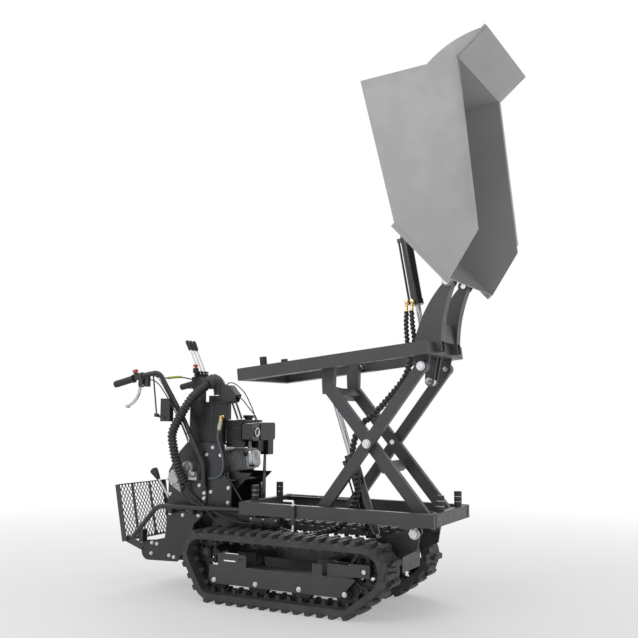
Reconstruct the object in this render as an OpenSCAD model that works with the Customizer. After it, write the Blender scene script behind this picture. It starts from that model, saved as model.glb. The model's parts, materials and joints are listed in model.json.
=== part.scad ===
/* [Tracks] */
// Distance from the centre plane to the middle of each track
track_y = 259; // [245:1:290]
// Width of a rubber track belt
belt_w = 180; // [150:1:180]
// Thickness of the belt without its lugs
belt_t = 28; // [20:1:32]
// Height of the ground lugs
lug_h = 18; // [12:1:26]
// Nominal pitch of the ground lugs along the belt
lug_pitch = 60; // [50:1:72]
// Distance between two track rollers
roller_pitch = 233.6; // [200:0.1:240]
// Radius of a track roller
roller_r = 59; // [50:1:64]
// Width of a track roller's tread
roller_w = 34; // [24:1:36]
// Radius of the belt's inner face round the drive sprocket
sprocket_r = 70; // [62:1:76]
// Radius of the belt's inner face round the front idler
idler_r = 85; // [76:1:90]

/* [Lift frames] */
// Length of the lower and upper frames
frame_l = 1004; // [960:1:1060]
// Width over a frame's side rails
frame_w = 494; // [470:1:520]
// Height of a frame rail
rail_h = 60; // [54:1:66]
// Width of a frame rail
rail_w = 30; // [26:1:34]
// Height of the top of the lower frame above the ground
deck_z = 475; // [470:1:485]
// Height of a rest post above its frame
post_h = 73; // [70:0.5:84]
// Diameter of a rest post
post_d = 30; // [24:1:36]

/* [Scissor] */
// Depth of a scissor arm
arm_w = 60; // [50:1:64]
// Thickness of a scissor arm
arm_t = 30; // [24:1:30]
// Slope of the inner arms when raised
inner_slope = 49.87; // [48:0.01:52]
// Slope of the outer arms when raised
outer_slope = 53; // [51:0.1:55]
// Length of an inner arm from its front pivot to the middle pin
inner_l = 425; // [415:1:435]
// Length of an outer arm from the middle pin to its lower roller
outer_low_l = 407; // [398:1:415]
// Length of an outer arm from the middle pin to its top pivot
outer_up_l = 446.2; // [436:0.1:456]
// Slope of the upper frame when raised, front end up
platform_tilt = 6.55; // [4:0.05:9]
// Diameter of the scissor pins
pin_d = 24; // [18:1:28]
// Diameter of the slide rollers
slide_d = 36; // [30:1:38]

/* [Skip] */
// Width of the skip
skip_w = 640; // [600:1:660]
// Thickness of the skip's sheet steel
skip_t = 3; // [2:0.5:4]
// Width of the rolled flange along the skip's rim
rim_w = 28; // [20:1:34]

/* [Rams] */
// Outer diameter of the lift ram's barrel
lift_barrel_d = 60; // [54:1:64]
// Diameter of the lift ram's rod
lift_rod_d = 30; // [24:1:36]
// Outer diameter of the tipping ram's barrel
tip_barrel_d = 56; // [52:1:60]
// Diameter of the tipping ram's chrome rod
tip_rod_d = 26; // [22:1:27]

/* [Controls] */
// Diameter of the handlebar tube
bar_d = 25; // [22:1:28]
// Diameter of a hand grip
grip_d = 35; // [32:1:38]
// Length of a hand grip
grip_l = 125; // [110:1:140]
// Outer diameter of the ribbed control loom
loom_d = 36; // [30:1:42]
// Pitch of the ribs along the control loom
loom_pitch = 11; // [9:0.5:16]
// Width of the operator's step
step_w = 400; // [360:1:404]
// Height of the operator's step when folded up
step_h = 300; // [260:1:330]

/* [Hidden] */
$fn = 48;

// Distance from the middle of the tracks to the middle of the whole machine
middle_x = -16.5;
// Running gap between turning and fixed parts
gap = 0.5;

// Places of the track wheels
ground_z = lug_h + belt_t;
roller_z = ground_z + roller_r;
sprocket_at = [-412, 228];
idler_at = [448, 213];
roller_x = [for (i = [0:3]) (i - 1.5) * roller_pitch];
wheels = [[sprocket_at, sprocket_r], [idler_at, idler_r],
    [[roller_x[3], roller_z], roller_r], [[roller_x[0], roller_z], roller_r]];

// Places of the lift linkage, in the side view
rail_mid_z = deck_z - rail_h / 2;
lower_frame_x = -252;
front_pivot = [676, rail_mid_z];
mid_pin = front_pivot + inner_l * [-cos(inner_slope), sin(inner_slope)];
lower_roller = mid_pin - outer_low_l * [cos(outer_slope), sin(outer_slope)];
top_pivot = mid_pin + outer_up_l * [cos(outer_slope), sin(outer_slope)];
arm_gap = 1.5;
outer_arm_y = frame_w / 2 - rail_w - 32;
inner_arm_y = outer_arm_y - arm_t - arm_gap;
slide_y = frame_w / 2 - rail_w - 4;

// Places on the upper frame, measured along it and square to it from the top pivot
deck_over_pivot = 106;
platform_back = -943;
slide_track_y = deck_over_pivot - rail_h + 22;
slide_place = [-478, slide_track_y];
ram_foot = [-26, -62];
skip_hinge = [158, 375.5];
function on_platform(p) = top_pivot
    + [p[0] * cos(platform_tilt) - p[1] * sin(platform_tilt),
       p[0] * sin(platform_tilt) + p[1] * cos(platform_tilt)];
slide_at = on_platform(slide_place);
ram_foot_at = on_platform(ram_foot);
hinge_at = on_platform(skip_hinge);

// Side outline of the skip from its hinge, tipped
rear_low = [-359, 939];
floor_bend = [-189, 253];
lip = [71, -22];
rim_front = [203, 186];
rim_rear = [118, 972];
flap_tip = [251, 1086];
ram_head = hinge_at + [-314, 533];
ram_dir = (ram_head - ram_foot_at) / norm(ram_head - ram_foot_at);
lift_foot = [370, 300];
lift_head = [130, 1017];
lift_dir = (lift_head - lift_foot) / norm(lift_head - lift_foot);

module both() {
    children();
    mirror([0, 1, 0]) children();
}

// A side-view outline made into a plate between two distances from the centre plane
module plate(y0, y1) {
    rotate([90, 0, 0]) translate([0, 0, -y1]) linear_extrude(y1 - y0) children();
}

// A round bar across the machine
module cross_bar(at, d, y0, y1) {
    translate([at[0], y0, at[1]]) rotate([-90, 0, 0]) cylinder(d = d, h = y1 - y0);
}

// A round bar between two points
module rod(a, b, d, d2 = 0) {
    v = b - a;
    l = norm(v);
    translate(a) rotate([0, acos(v[2] / l), atan2(v[1], v[0])])
        cylinder(d1 = d, d2 = d2 > 0 ? d2 : d, h = l);
}

// A flat bar in the side view from a to b, its depth w, between y0 and y1
module strut(a, b, w, y0, y1) {
    v = b - a;
    translate([a[0], y0, a[1]]) rotate([0, -atan2(v[1], v[0]), 0])
        translate([0, 0, -w / 2]) cube([norm(v), y1 - y0, w]);
}

module box(lo, hi) {
    translate(lo) cube(hi - lo);
}

// A hexagon bolt head that faces the near side, with its washer
module bolt_head(at, y, d) {
    translate([at[0], y, at[1]]) rotate([90, 0, 0]) {
        cylinder(d = 2.1 * d, h = 2);
        cylinder(d = 1.75 * d, h = 2 + 0.65 * d, $fn = 6);
    }
}

// A hexagon bolt head that faces the far side
module far_bolt_head(at, y, d) {
    mirror([0, 1, 0]) bolt_head(at, -y, d);
}

// Straight outer tangent between two circles, as the two points it touches
function tangent(a, b) =
    let (v = b[0] - a[0], l = norm(v), t = atan2(v[1], v[0]) + acos((a[1] - b[1]) / l))
    [a[0] + a[1] * [cos(t), sin(t)], b[0] + b[1] * [cos(t), sin(t)]];
function grown(w, g) = [w[0], w[1] + g];
belt_tangents = [for (i = [0:3]) tangent(wheels[i], wheels[(i + 1) % 4])];
function turn(i) =
    let (a = belt_tangents[(i + 3) % 4][1] - wheels[i][0], b = belt_tangents[i][0] - wheels[i][0],
        d = atan2(a[1], a[0]) - atan2(b[1], b[0]))
    d < 0 ? d + 360 : d;
run_l = [for (i = [0:3]) norm(belt_tangents[i][1] - belt_tangents[i][0])];
arc_l = [for (i = [0:3]) turn((i + 1) % 4) * PI / 180 * wheels[(i + 1) % 4][1]];
function sum(v, n) = n <= 0 ? 0 : v[n - 1] + sum(v, n - 1);
belt_l = sum(run_l, 4) + sum(arc_l, 4);
lug_count = round(belt_l / lug_pitch);

// Place and direction of the belt's inner face at a distance along it
function along(s, i = 0) =
    s < run_l[i] ? [belt_tangents[i][0] + (belt_tangents[i][1] - belt_tangents[i][0]) * s / run_l[i],
        atan2(belt_tangents[i][1][1] - belt_tangents[i][0][1],
            belt_tangents[i][1][0] - belt_tangents[i][0][0])]
    : s < run_l[i] + arc_l[i] || i == 3 ?
        let (w = wheels[(i + 1) % 4], e = belt_tangents[i][1] - w[0],
            t = atan2(e[1], e[0]) - (s - run_l[i]) / w[1] * 180 / PI)
        [w[0] + w[1] * [cos(t), sin(t)], t - 90]
    : along(s - run_l[i] - arc_l[i], i + 1);

module belt_outline(g) {
    for (w = wheels) translate(w[0]) circle(r = w[1] + g, $fn = 96);
    polygon([for (i = [0:3]) for (p = tangent(grown(wheels[i], g), grown(wheels[(i + 1) % 4], g))) p]);
}

// One ground lug, a block with a sloped root, on the belt's outer face
module lug(y0, y1, foot, crown) {
    rotate([90, 0, 0]) translate([0, 0, -y1]) linear_extrude(y1 - y0)
        polygon([[-foot / 2, belt_t - 1], [foot / 2, belt_t - 1], [crown / 2, belt_t + lug_h],
            [-crown / 2, belt_t + lug_h]]);
}

lug_edge = 6;
guide_in = 23;
guide_out = 39;
guide_h = 20;

module track_belt() {
    color("#3a3a3a") {
        plate(-belt_w / 2, belt_w / 2) difference() {
            belt_outline(belt_t);
            belt_outline(0);
        }
        for (k = [0:lug_count - 1]) for (side = [0, 1]) {
            p = along((k + side / 2) * belt_l / lug_count);
            translate([p[0][0], 0, p[0][1]]) rotate([0, -p[1], 0]) mirror([0, side, 0]) {
                lug(12, belt_w / 2 - lug_edge, 34, 22);
                lug(-26, 13, 22, 14);
            }
        }
        for (k = [0:lug_count - 1]) {
            p = along((k + 0.5) * belt_l / lug_count);
            translate([p[0][0], 0, p[0][1]]) rotate([0, -p[1], 0]) for (s = [0, 1]) mirror([0, s, 0])
                rotate([90, 0, 0]) translate([0, 0, -guide_out]) linear_extrude(guide_out - guide_in)
                    polygon([[-13, 1], [13, 1], [8, -guide_h], [-8, -guide_h]]);
        }
    }
}

teeth = 8;

module sprocket() {
    tip_r = sprocket_r - gap;
    color("#2c2c2c") translate([sprocket_at[0], 0, sprocket_at[1]]) rotate([90, 0, 0]) {
        difference() {
            translate([0, 0, -9]) linear_extrude(18) difference() {
                union() {
                    circle(r = tip_r - 18);
                    for (i = [0:teeth - 1]) rotate(i * 360 / teeth)
                        polygon([[0, -13], [tip_r - 14, -13], [tip_r - 1, -6], [tip_r - 1, 6],
                            [tip_r - 14, 13], [0, 13]]);
                }
                for (i = [0:3]) rotate(45 + i * 90) translate([34, 0]) circle(r = 9);
            }
            translate([0, 0, -10]) cylinder(r = 14 + gap / 10, h = 20);
        }
        difference() {
            translate([0, 0, 9]) cylinder(r = 24, h = 16);
            cylinder(r = 14 + gap / 10, h = 26);
        }
    }
}

module idler() {
    color("#333333") translate([idler_at[0], 0, idler_at[1]]) rotate([90, 0, 0]) difference() {
        rotate_extrude($fn = 96) polygon([[10.05, -20], [22, -20], [24, -6], [idler_r - 14, -6],
            [idler_r - 14, -17], [idler_r - gap, -17], [idler_r - gap, 17], [idler_r - 14, 17],
            [idler_r - 14, 6], [24, 6], [22, 20], [10.05, 20]]);
        for (i = [0:5]) rotate(i * 60) translate([48, 0, -10]) cylinder(r = 15, h = 20);
    }
}

module roller(i) {
    color("#303030") translate([roller_x[i], 0, roller_z]) rotate([90, 0, 0])
        rotate_extrude() polygon([[8.05, -24], [24, -24], [26, -roller_w / 2 + 6],
            [roller_r - 10, -roller_w / 2 + 3], [roller_r - 8, -roller_w / 2],
            [roller_r - gap, -roller_w / 2], [roller_r - gap, roller_w / 2],
            [roller_r - 8, roller_w / 2], [roller_r - 10, roller_w / 2 - 3],
            [26, roller_w / 2 - 6], [24, 24], [8.05, 24]]);
}

frame_y = 39;
frame_wall = 5;
frame_low = 88;
frame_top = 176;
tube_x = 220;

// Frame of one track: two cheeks, a top web, roller axles and the idler's fork
module track_frame() {
    cheek = [[roller_x[0] - 30, frame_top], [roller_x[0] - 30, frame_low + 12], [roller_x[0] - 18, frame_low],
        [roller_x[3] - 22, frame_low], [roller_x[3] + 52, frame_top - 4], [roller_x[3] + 48, frame_top]];
    color("#4a4b4c") {
        plate(-frame_y - frame_wall, -frame_y) difference() {
            union() {
                polygon(cheek);
                polygon([[-331, frame_top - 1], [-331, 226], [-324, 233], [-178, 233], [-171, 226],
                    [-171, frame_top - 1]]);
                polygon([[185, frame_top - 1], [185, 228], [237, 228], [237, frame_top - 1]]);
            }
            translate([-300, 196]) square([70, 7]);
            for (x = [-209, -193]) translate([x, 212]) circle(d = 8);
        }
        plate(frame_y, frame_y + frame_wall) union() {
            polygon(cheek);
            for (s = [-1, 1]) translate([s * tube_x - 48, frame_top - 1]) square([96, 234 - frame_top]);
        }
        box([roller_x[0] + 24, -frame_y, frame_top - 8], [roller_x[3], frame_y, frame_top]);
        for (x = roller_x) {
            cross_bar([x, roller_z], 16, -frame_y, frame_y);
            for (s = [0, 1]) mirror([0, s, 0]) cross_bar([x, roller_z], 30, 24 + gap, frame_y);
        }
        for (s = [0, 1]) mirror([0, s, 0]) {
            difference() {
                box([idler_at[0] - 78, -frame_y - frame_wall, idler_at[1] - 28],
                    [idler_at[0] + 25, -26, idler_at[1] + 29]);
                box([idler_at[0] - 79, -frame_y, idler_at[1] - 29],
                    [idler_at[0] - 20, -25, frame_top + 1]);
            }
            box([idler_at[0] - 190, -frame_y + 4, frame_top - 1], [idler_at[0] - 60, -26, idler_at[1] + 20]);
            cross_bar(idler_at, 38, -26, -20 - gap);
        }
        cross_bar(idler_at, 20, -26, 26);
    }
}

cradle_w = 110;
cradle_t = 6;
cradle_low = 200;
cradle_top = 290;
cradle_front = 548;
body_w = 200;
body_t = 8;
body_top = 405;
front_eye = [620, 372];
step_hinge = [-878, 198];

// Front ear of the chassis that carries the lift frame's pivot bolt
module front_ear() {
    plate(130, 140) difference() {
        union() {
            translate(front_eye) circle(r = 26);
            polygon([[290, 286], [300, 276], [560, 262], [front_eye[0] + 14, 300],
                front_eye + [25, -6], front_eye + [-4, 25.6], [430, 334], [330, 306]]);
        }
        translate(front_eye) circle(r = 12.1);
    }
}

module rear_plate() {
    plate(body_w - body_t, body_w) {
        translate([-835, 187]) circle(r = 45);
        polygon([[-835, 142], [-650, 148], [-580, 240], [-550, 345], [-500, 385], [-500, body_top],
            [-716, body_top], [-732, 262], [-790, 248], [-878, 240], [-880, 187]]);
    }
    cross_bar(step_hinge, 16, body_w - body_t - 18, body_w + 5);
}

// Round bar along a route, with a true bend of radius r[i] at each of its corners
module bent_bar(p, d, r) {
    last = len(p) - 1;
    v = [for (i = [0:last - 1]) (p[i + 1] - p[i]) / norm(p[i + 1] - p[i])];
    half = [0, for (i = [1:last - 1]) acos(v[i - 1] * v[i]) / 2, 0];
    cut = [for (i = [0:last]) i == 0 || i == last ? 0 : r[i - 1] * tan(half[i])];
    for (i = [0:last - 1]) {
        head = i == 0 ? 0 : cut[i] + 0.4;
        tail = i == last - 1 ? 0 : cut[i + 1] + 0.4;
        rod(p[i] + head * v[i], p[i + 1] - tail * v[i], d);
    }
    for (i = [1:last - 1]) {
        // The seams are lapped by a ring a little wider than the bar
        rod(p[i] - (cut[i] + 3) * v[i - 1], p[i] - (cut[i] - 3) * v[i - 1], d + 0.8);
        rod(p[i] + (cut[i] - 3) * v[i], p[i] + (cut[i] + 3) * v[i], d + 0.8);
        inward = (v[i] - v[i - 1]) / norm(v[i] - v[i - 1]);
        centre = p[i] + inward * r[i - 1] / cos(half[i]);
        from = (p[i] - cut[i] * v[i - 1] - centre) / r[i - 1];
        side = cross(from, v[i - 1]);
        multmatrix([for (k = [0:2]) [from[k], v[i - 1][k], side[k], centre[k]]])
            rotate_extrude(angle = 2 * half[i]) translate([r[i - 1], 0]) circle(d = d);
    }
}
guard_line = [[-913, 232, 256], [-758.9, 232, 424.6], [-256, 232, 433]];

module chassis() {
    color("#4b4c4e") {
        box([-600, -cradle_w, cradle_low], [cradle_front, cradle_w, cradle_low + cradle_t]);
        both() {
            box([-600, cradle_w - cradle_t, cradle_low], [cradle_front, cradle_w, cradle_top]);
            box([-600, cradle_w - 20, cradle_top - cradle_t], [-130, cradle_w, cradle_top]);
            for (s = [-1, 1]) box([s * tube_x - 30, cradle_w - 1, 180],
                [s * tube_x + 30, track_y - frame_y - frame_wall, 230]);
            rear_plate();
            front_ear();
            bent_bar(guard_line, 25, [80]);
            for (x = [-690, -560]) box([x, body_w - 2, 392], [x + 24, 234, 420]);
            box([-870, body_w - 2, 236], [-846, 236, 300]);
            box([cradle_front - 56, cradle_w - 1, 240], [cradle_front - 10, 131, 284]);
            box([300, cradle_w - 1, 262], [330, 131, 288]);
            translate([sprocket_at[0], cradle_w - 1, sprocket_at[1]]) rotate([-90, 0, 0]) {
                cylinder(r = 28, h = track_y - 9 - gap - cradle_w);
                cylinder(r = 14, h = track_y + 30 - cradle_w);
            }
            // Lugs of the lift ram's foot
            plate(24, 32) difference() {
                union() {
                    translate(lift_foot) circle(r = 24);
                    polygon([lift_foot + [-24, 0], lift_foot + [24, 0], [lift_foot[0] + 40, cradle_low + 1],
                        [lift_foot[0] - 40, cradle_low + 1], lift_foot + [-40, -24]]);
                }
                translate(lift_foot) circle(r = 10.1);
            }
            box([-500, cradle_w - cradle_t, cradle_top - 1], [-206, cradle_w, body_top]);
        }
        box([cradle_front - 6, -cradle_w, cradle_low - 12], [cradle_front + 2, cradle_w, cradle_top]);
        box([-216, -cradle_w, cradle_top - cradle_t], [-206, cradle_w, body_top - 70]);
        box([-728, -body_w + 1, 160], [-720, body_w - 1, 262]);
        box([-870, -body_w + 1, 158], [-600, body_w - 1, 164]);
        box([-606, -body_w + 1, 160], [-600, body_w - 1, body_top]);
        for (x = [-700, -560]) box([x, -body_w + 1, body_top - 10], [x + 40, body_w - 1, body_top]);
    }
}

deck_t = 6;
mount_y = 150;
mount_t = 6;
plate_z = 570;

// Plates and deck that carry the engine, the gearbox and the oil tank
module engine_mount() {
    color("#2e2f31") {
        box([-760, -mount_y, body_top], [-206, mount_y, body_top + deck_t]);
        both() plate(mount_y - mount_t, mount_y)
            polygon([[-754, body_top + 1], [-754, 600], [-700, 690], [-480, 690], [-404, 590], [-364, 548],
                [-364, body_top + 1]]);
        // Near side plate carried up to the oil tank's shelf
        plate(-mount_y, mount_t - mount_y)
            polygon([[-700, 689], [-640, oil_lo[2]], [-412, oil_lo[2]], [-404, 640], [-404, 589], [-480, 689]]);
        box([-640, -mount_y + 1, oil_lo[2] - 8], [-430, oil_hi[1] - 8, oil_lo[2]]);
        box([-640, -mount_y + 1, 684], [-634, oil_hi[1] - 8, oil_lo[2] - 7]);
        box([-755, -mount_y + 1, 500], [-749, mount_y - 1, 600]);
        box([-700, -mount_y + 1, 684], [-600, mount_y - 1, 690]);
        // Engine plate with its gussets and front leg
        box([-600, -mount_y + 1, plate_z - 6], [-345, mount_y - 1, plate_z]);
        both() plate(98, 104) polygon([[-410, 480], [-342, 537], [-273, 603], [-410, 603]]);
        translate([-303, 0, 0]) rotate([90, 0, 90]) linear_extrude(5) difference() {
            polygon([[42, body_top + 1], [82, body_top + 1], [80, 690], [62, 690]]);
            for (z = [430, 455, 480]) translate([60, z]) circle(d = 8);
        }
        for (y = [-70, -46]) plate(y, y + 4) polygon([[-752, body_top + 1], [-752, 450], gear_at + [8, 16],
            gear_at + [-14, 8], gear_at + [-14, -13]]);
        cross_bar(gear_at, 12, -70, -42);
    }
}

bolt_y = body_w;

module chassis_bolts() {
    color("#c9ccd0") {
        for (p = [[-700, 388], [-620, 384], [-523, 388], [-815, 178], [-700, 176], [-670, 170], [-812, 232],
            [-780, 228]]) {
            bolt_head(p, -bolt_y, 9);
            far_bolt_head(p, bolt_y, 9);
        }
        for (p = [[-520, 470], [-520, 496]]) {
            bolt_head(p, -mount_y - bar_lug, 9);
            far_bolt_head(p, mount_y + bar_lug, 9);
        }
        for (p = [[-740, 480], [-556, 533], [-484, 503], [-380, 455], [-378, 528]]) {
            bolt_head(p, -mount_y, 9);
            far_bolt_head(p, mount_y, 9);
        }
        for (p = [[-515, 690], [-478, 728], [-430, 690]]) bolt_head(p, -mount_y, 9);
        both() {
            cross_bar(front_eye, 24, 100, 146);
            cross_bar(front_eye, 52, 140, 143);
            translate([front_eye[0], 146, front_eye[1]]) rotate([-90, 0, 0])
                cylinder(d = 42, h = 14, $fn = 6);
            cross_bar(front_pivot, pin_d, 102, 217);
            for (x = roller_x) translate([x, track_y + frame_y + frame_wall, roller_z])
                rotate([-90, 0, 0]) {
                    cylinder(d = 24, h = 2);
                    cylinder(d = 18, h = 9, $fn = 6);
                }
            translate([idler_at[0], track_y + frame_y + frame_wall, idler_at[1]]) rotate([-90, 0, 0])
                cylinder(d = 22, h = 10, $fn = 6);
        }
        cross_bar(lift_foot, 20, 24, 38);
        cross_bar(lift_foot, 20, -38, -24);
    }
}
bar_lug = 8;

rail_in = frame_w / 2 - rail_w;
rail_low = deck_z - rail_h;
frame_front = lower_frame_x + frame_l;

// Rectangular frame of two side rails and two end rails
module rail_frame(x0, low) {
    both() box([x0, rail_in, low], [x0 + frame_l, frame_w / 2, low + rail_h]);
    for (x = [x0, x0 + frame_l - rail_w])
        box([x, -rail_in - 1, low], [x + rail_w, rail_in + 1, low + rail_h]);
}

module lower_frame() {
    color("#505254") {
        difference() {
            union() {
                rail_frame(lower_frame_x, rail_low);
                translate([lock_x, lock_y, rail_low - 30]) cylinder(d = 22, h = rail_h + 28);
            }
            translate([lock_x, lock_y, rail_low - 31]) cylinder(d = 12.1, h = rail_h + 48);
        }
        both() {
            // Channel that the outer arms' rollers run in
            for (s = [-1, 1]) box([lower_frame_x + rail_w - 1, slide_y - 26,
                    rail_mid_z - 1.5 + s * (slide_d / 2 + 5)],
                [lower_roller[0] + 60, rail_in + 1, rail_mid_z + 1.5 + s * (slide_d / 2 + 5)]);
            // Front lugs of the inner arms, with their cross bearing
            plate(104, 114) difference() {
                rect([front_pivot[0] - 26, rail_low + 4], [frame_front - rail_w + 1, deck_z - 4]);
                translate(front_pivot) circle(d = pin_d + 0.2);
            }
            // Ears that hang on the chassis pivot
            plate(116, 129) difference() {
                union() {
                    translate(front_eye) circle(r = 24);
                    translate([front_eye[0] - 30, front_eye[1]]) square([60, rail_low - 3 - front_eye[1]]);
                }
                translate(front_eye) circle(r = 12.1);
            }
            box([front_eye[0] - 34, 100, rail_low - 10], [front_eye[0] + 34, frame_w / 2, rail_low - 4]);
            box([front_eye[0] - 30, rail_in, rail_low - 5], [front_eye[0] + 30, frame_w / 2, rail_low + 1]);
            // Rear feet that stand on the engine deck
            box([-250, 60, body_top + deck_t], [-224, 120, rail_low + 1]);
        }
        for (p = lower_posts) translate([p[0], p[1], deck_z - 1]) cylinder(d = post_d, h = post_h - 24);
    }
}
module rect(lo, hi) {
    translate(lo) square(hi - lo);
}
lock_x = 56;
lock_y = -frame_w / 2 - 9;
post_y = 122;
lower_posts = [for (x = [lower_frame_x + rail_w / 2, frame_front - rail_w / 2])
    for (y = [-post_y, post_y]) [x, y]];
upper_posts = [[73, -108], [73, 108]];

// Rubber cap pushed over a post
module post_cap(d, low) {
    difference() {
        translate([0, 0, -low]) cylinder(d = d + 6, h = low + 24);
        translate([0, 0, -low - 1]) cylinder(d = d + 0.1, h = low + 1);
    }
}

module lower_post_caps() {
    color("#26272a") for (p = lower_posts) translate([p[0], p[1], deck_z - 1 + post_h - 24])
        post_cap(post_d, post_h - 27);
}

module arm_eye(at, r, y0, y1) {
    cross_bar(at, 2 * r, y0, y1);
}

// Inner scissor arms, joined by cross tubes, with cranked upper ends
crank = mid_pin + 340 * [-cos(inner_slope), sin(inner_slope)];
module inner_arms() {
    y1 = inner_arm_y;
    y0 = inner_arm_y - arm_t;
    r = arm_w / 2 - 2;
    color("#505254") {
        both() difference() {
            union() {
                strut(front_pivot, crank, 2 * r, y0, y1);
                arm_eye(front_pivot, r, y0, y1);
                plate(y0, y1) polygon([crank + [-30, -30], crank + [30, 14], slide_at + [26, -12],
                    slide_at + [20, 18], slide_at + [-20, 18], slide_at + [-40, -40]]);
                cross_bar(slide_at, 44, y0, y1);
            }
            cross_bar(front_pivot, pin_d + 0.2, y0 - 1, y1 + 1);
            cross_bar(mid_pin, pin_d + 0.2, y0 - 1, y1 + 1);
        }
        both() cross_bar(slide_at, 20, y1 - 1, slide_y + 2);
        // Cross tubes; the upper one carries the lift ram's lugs
        cross_tube(mid_pin + [58, -110], 40, y0 + 1);
        cross_tube(lift_head + [70, -17], 44, y0 + 1);
        both() plate(22, 30) difference() {
            union() {
                translate(lift_head) circle(r = 24);
                polygon([lift_head + [-4, -23], lift_head + [66, -40], lift_head + [86, 6],
                    lift_head + [6, 23]]);
            }
            translate(lift_head) circle(r = 12.1);
        }
    }
}
// A square cross tube centred on the machine
module cross_tube(at, w, y) {
    translate([at[0], 0, at[1]]) rotate([0, inner_slope, 0]) cube([w, 2 * y, w], center = true);
}

module arm_pins() {
    color("#c9ccd0") {
        both() {
            translate([mid_pin[0], outer_arm_y + 1, mid_pin[1]]) rotate([-90, 0, 0]) {
                cylinder(d = 42, h = 2);
                cylinder(d = 36, h = 14, $fn = 6);
            }
            cross_bar(mid_pin, pin_d, inner_arm_y - arm_t - 8, outer_arm_y + 1);
            cross_bar(lift_head, 24, 22, 36);
        }
        cross_bar(lift_head, 24, -23, 23);
    }
}

module outer_arms() {
    y1 = outer_arm_y;
    y0 = outer_arm_y - arm_t;
    arm_v = [cos(outer_slope), sin(outer_slope)];
    r = arm_w / 2 - 2;
    color("#515355") {
        both() difference() {
            union() {
                strut(lower_roller + 6 * arm_v, top_pivot - 5 * arm_v, 2 * r - 4, y0 + 0.4, y1 - 0.4);
                arm_eye(lower_roller, r - 4, y0, y1);
                arm_eye(top_pivot, r, y0, y1);
                cross_bar(lower_roller, 20, y0 + 1, slide_y + 2);
            }
            cross_bar(mid_pin, pin_d + 0.2, y0 - 1, y1 + 1);
            cross_bar(top_pivot, pin_d + 0.2, y0 - 1, y1 + 1);
        }
    }
}

// Pair of rollers on one line that run in the frames' side channels
module slide_rollers(at) {
    color("#8b8f93") both() difference() {
        cross_bar(at, slide_d, slide_y - 22, slide_y);
        cross_bar(at, 20.1, slide_y - 23, slide_y + 1);
    }
}

module on_deck() {
    translate([top_pivot[0], 0, top_pivot[1]]) rotate([0, -platform_tilt, 0]) children();
}
deck_low = deck_over_pivot - rail_h;
deck_front = platform_back + frame_l;

module upper_frame() {
    color("#4e5052") on_deck() {
        rail_frame(platform_back, deck_low);
        both() {
            box([platform_back + rail_w - 1, slide_y - 26, deck_low], [-400, rail_in + 1, deck_low + 2]);
            box([platform_back + rail_w - 1, slide_y - 26, deck_over_pivot - 2],
                [-400, rail_in + 1, deck_over_pivot]);
            // Brackets of the outer arms' top pivots
            plate(outer_arm_y - arm_t - arm_gap - 8, outer_arm_y - arm_t - arm_gap) difference() {
                union() {
                    circle(r = 28);
                    polygon([[-26, 10], [26, 10], [44, deck_low + 20], [-60, deck_low + 20]]);
                }
                circle(d = pin_d + 0.2);
            }
            // Brackets of the tipping ram's foot
            plate(20, 28) difference() {
                union() {
                    translate(ram_foot) circle(r = 22);
                    polygon([ram_foot + [-22, 0], ram_foot + [22, 0], [30, deck_low + 1],
                        [-32, deck_low + 1]]);
                }
                translate(ram_foot) circle(d = 20.2);
            }
            box([-44, 20, deck_low], [deck_front - rail_w + 1, 28, deck_low + 20]);
        }
        box([-6, -rail_in - 1, deck_low], [deck_front - rail_w + 1, rail_in + 1, deck_low + 6]);
        box([platform_back + rail_w - 1, -post_y - 8, deck_over_pivot - 8],
            [platform_back + 92, post_y + 8, deck_over_pivot]);
        for (p = upper_posts) translate([platform_back + p[0], p[1], deck_over_pivot - 1])
            cylinder(d = post_d, h = post_rise - 24);
    }
}
post_rise = 58;

module upper_post_caps() {
    color("#26272a") on_deck() for (p = upper_posts)
        translate([platform_back + p[0], p[1], deck_over_pivot - 1 + post_rise - 24])
            post_cap(post_d, post_rise - 27);
}

// Points along a shallow curve from a to b that bows out by h
function bow(a, b, h, n = 10) = [for (i = [0:n]) let (t = i / n, v = (b - a) / norm(b - a))
    a + (b - a) * t + 4 * h * t * (1 - t) * [-v[1], v[0]]];
swan_y = 85;
swan_w = 50;
swan_rear = [-41, deck_over_pivot];
swan_front = [92, deck_over_pivot - 46];

// Curved box arms that carry the skip's hinge
module tip_arms() {
    top = skip_hinge + [-24, -4];
    nose = skip_hinge + [22, -9];
    w = 6;
    rear = bow(swan_rear, top, 23);
    fore = bow(nose, swan_front + [0, 46], -14);
    color("#4c4e50") on_deck() {
        both() {
            for (y = [swan_y, swan_y + swan_w - w]) plate(y, y + w) difference() {
                union() {
                    polygon(concat(rear, fore, [swan_front, [deck_front, swan_front[1]],
                        [deck_front, deck_over_pivot]]));
                    translate(skip_hinge) circle(r = 28);
                }
                translate(skip_hinge) circle(d = pin_d + 0.2);
            }
            for (p = [rear, fore]) plate(swan_y + 1, swan_y + swan_w - 1) polygon(band(p, w));
        }
        box([76, -swan_y - 1, deck_over_pivot], [84, swan_y + 1, deck_over_pivot + 90]);
    }
}
// Outline of a curved sheet of thickness w that lies right of a line of points
function side_of(p, i) = let (v = p[min(i + 1, len(p) - 1)] - p[max(i - 1, 0)]) [v[1], -v[0]] / norm(v);
function band(p, w) = concat(p, [for (i = [len(p) - 1:-1:0]) p[i] + w * side_of(p, i)]);

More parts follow.
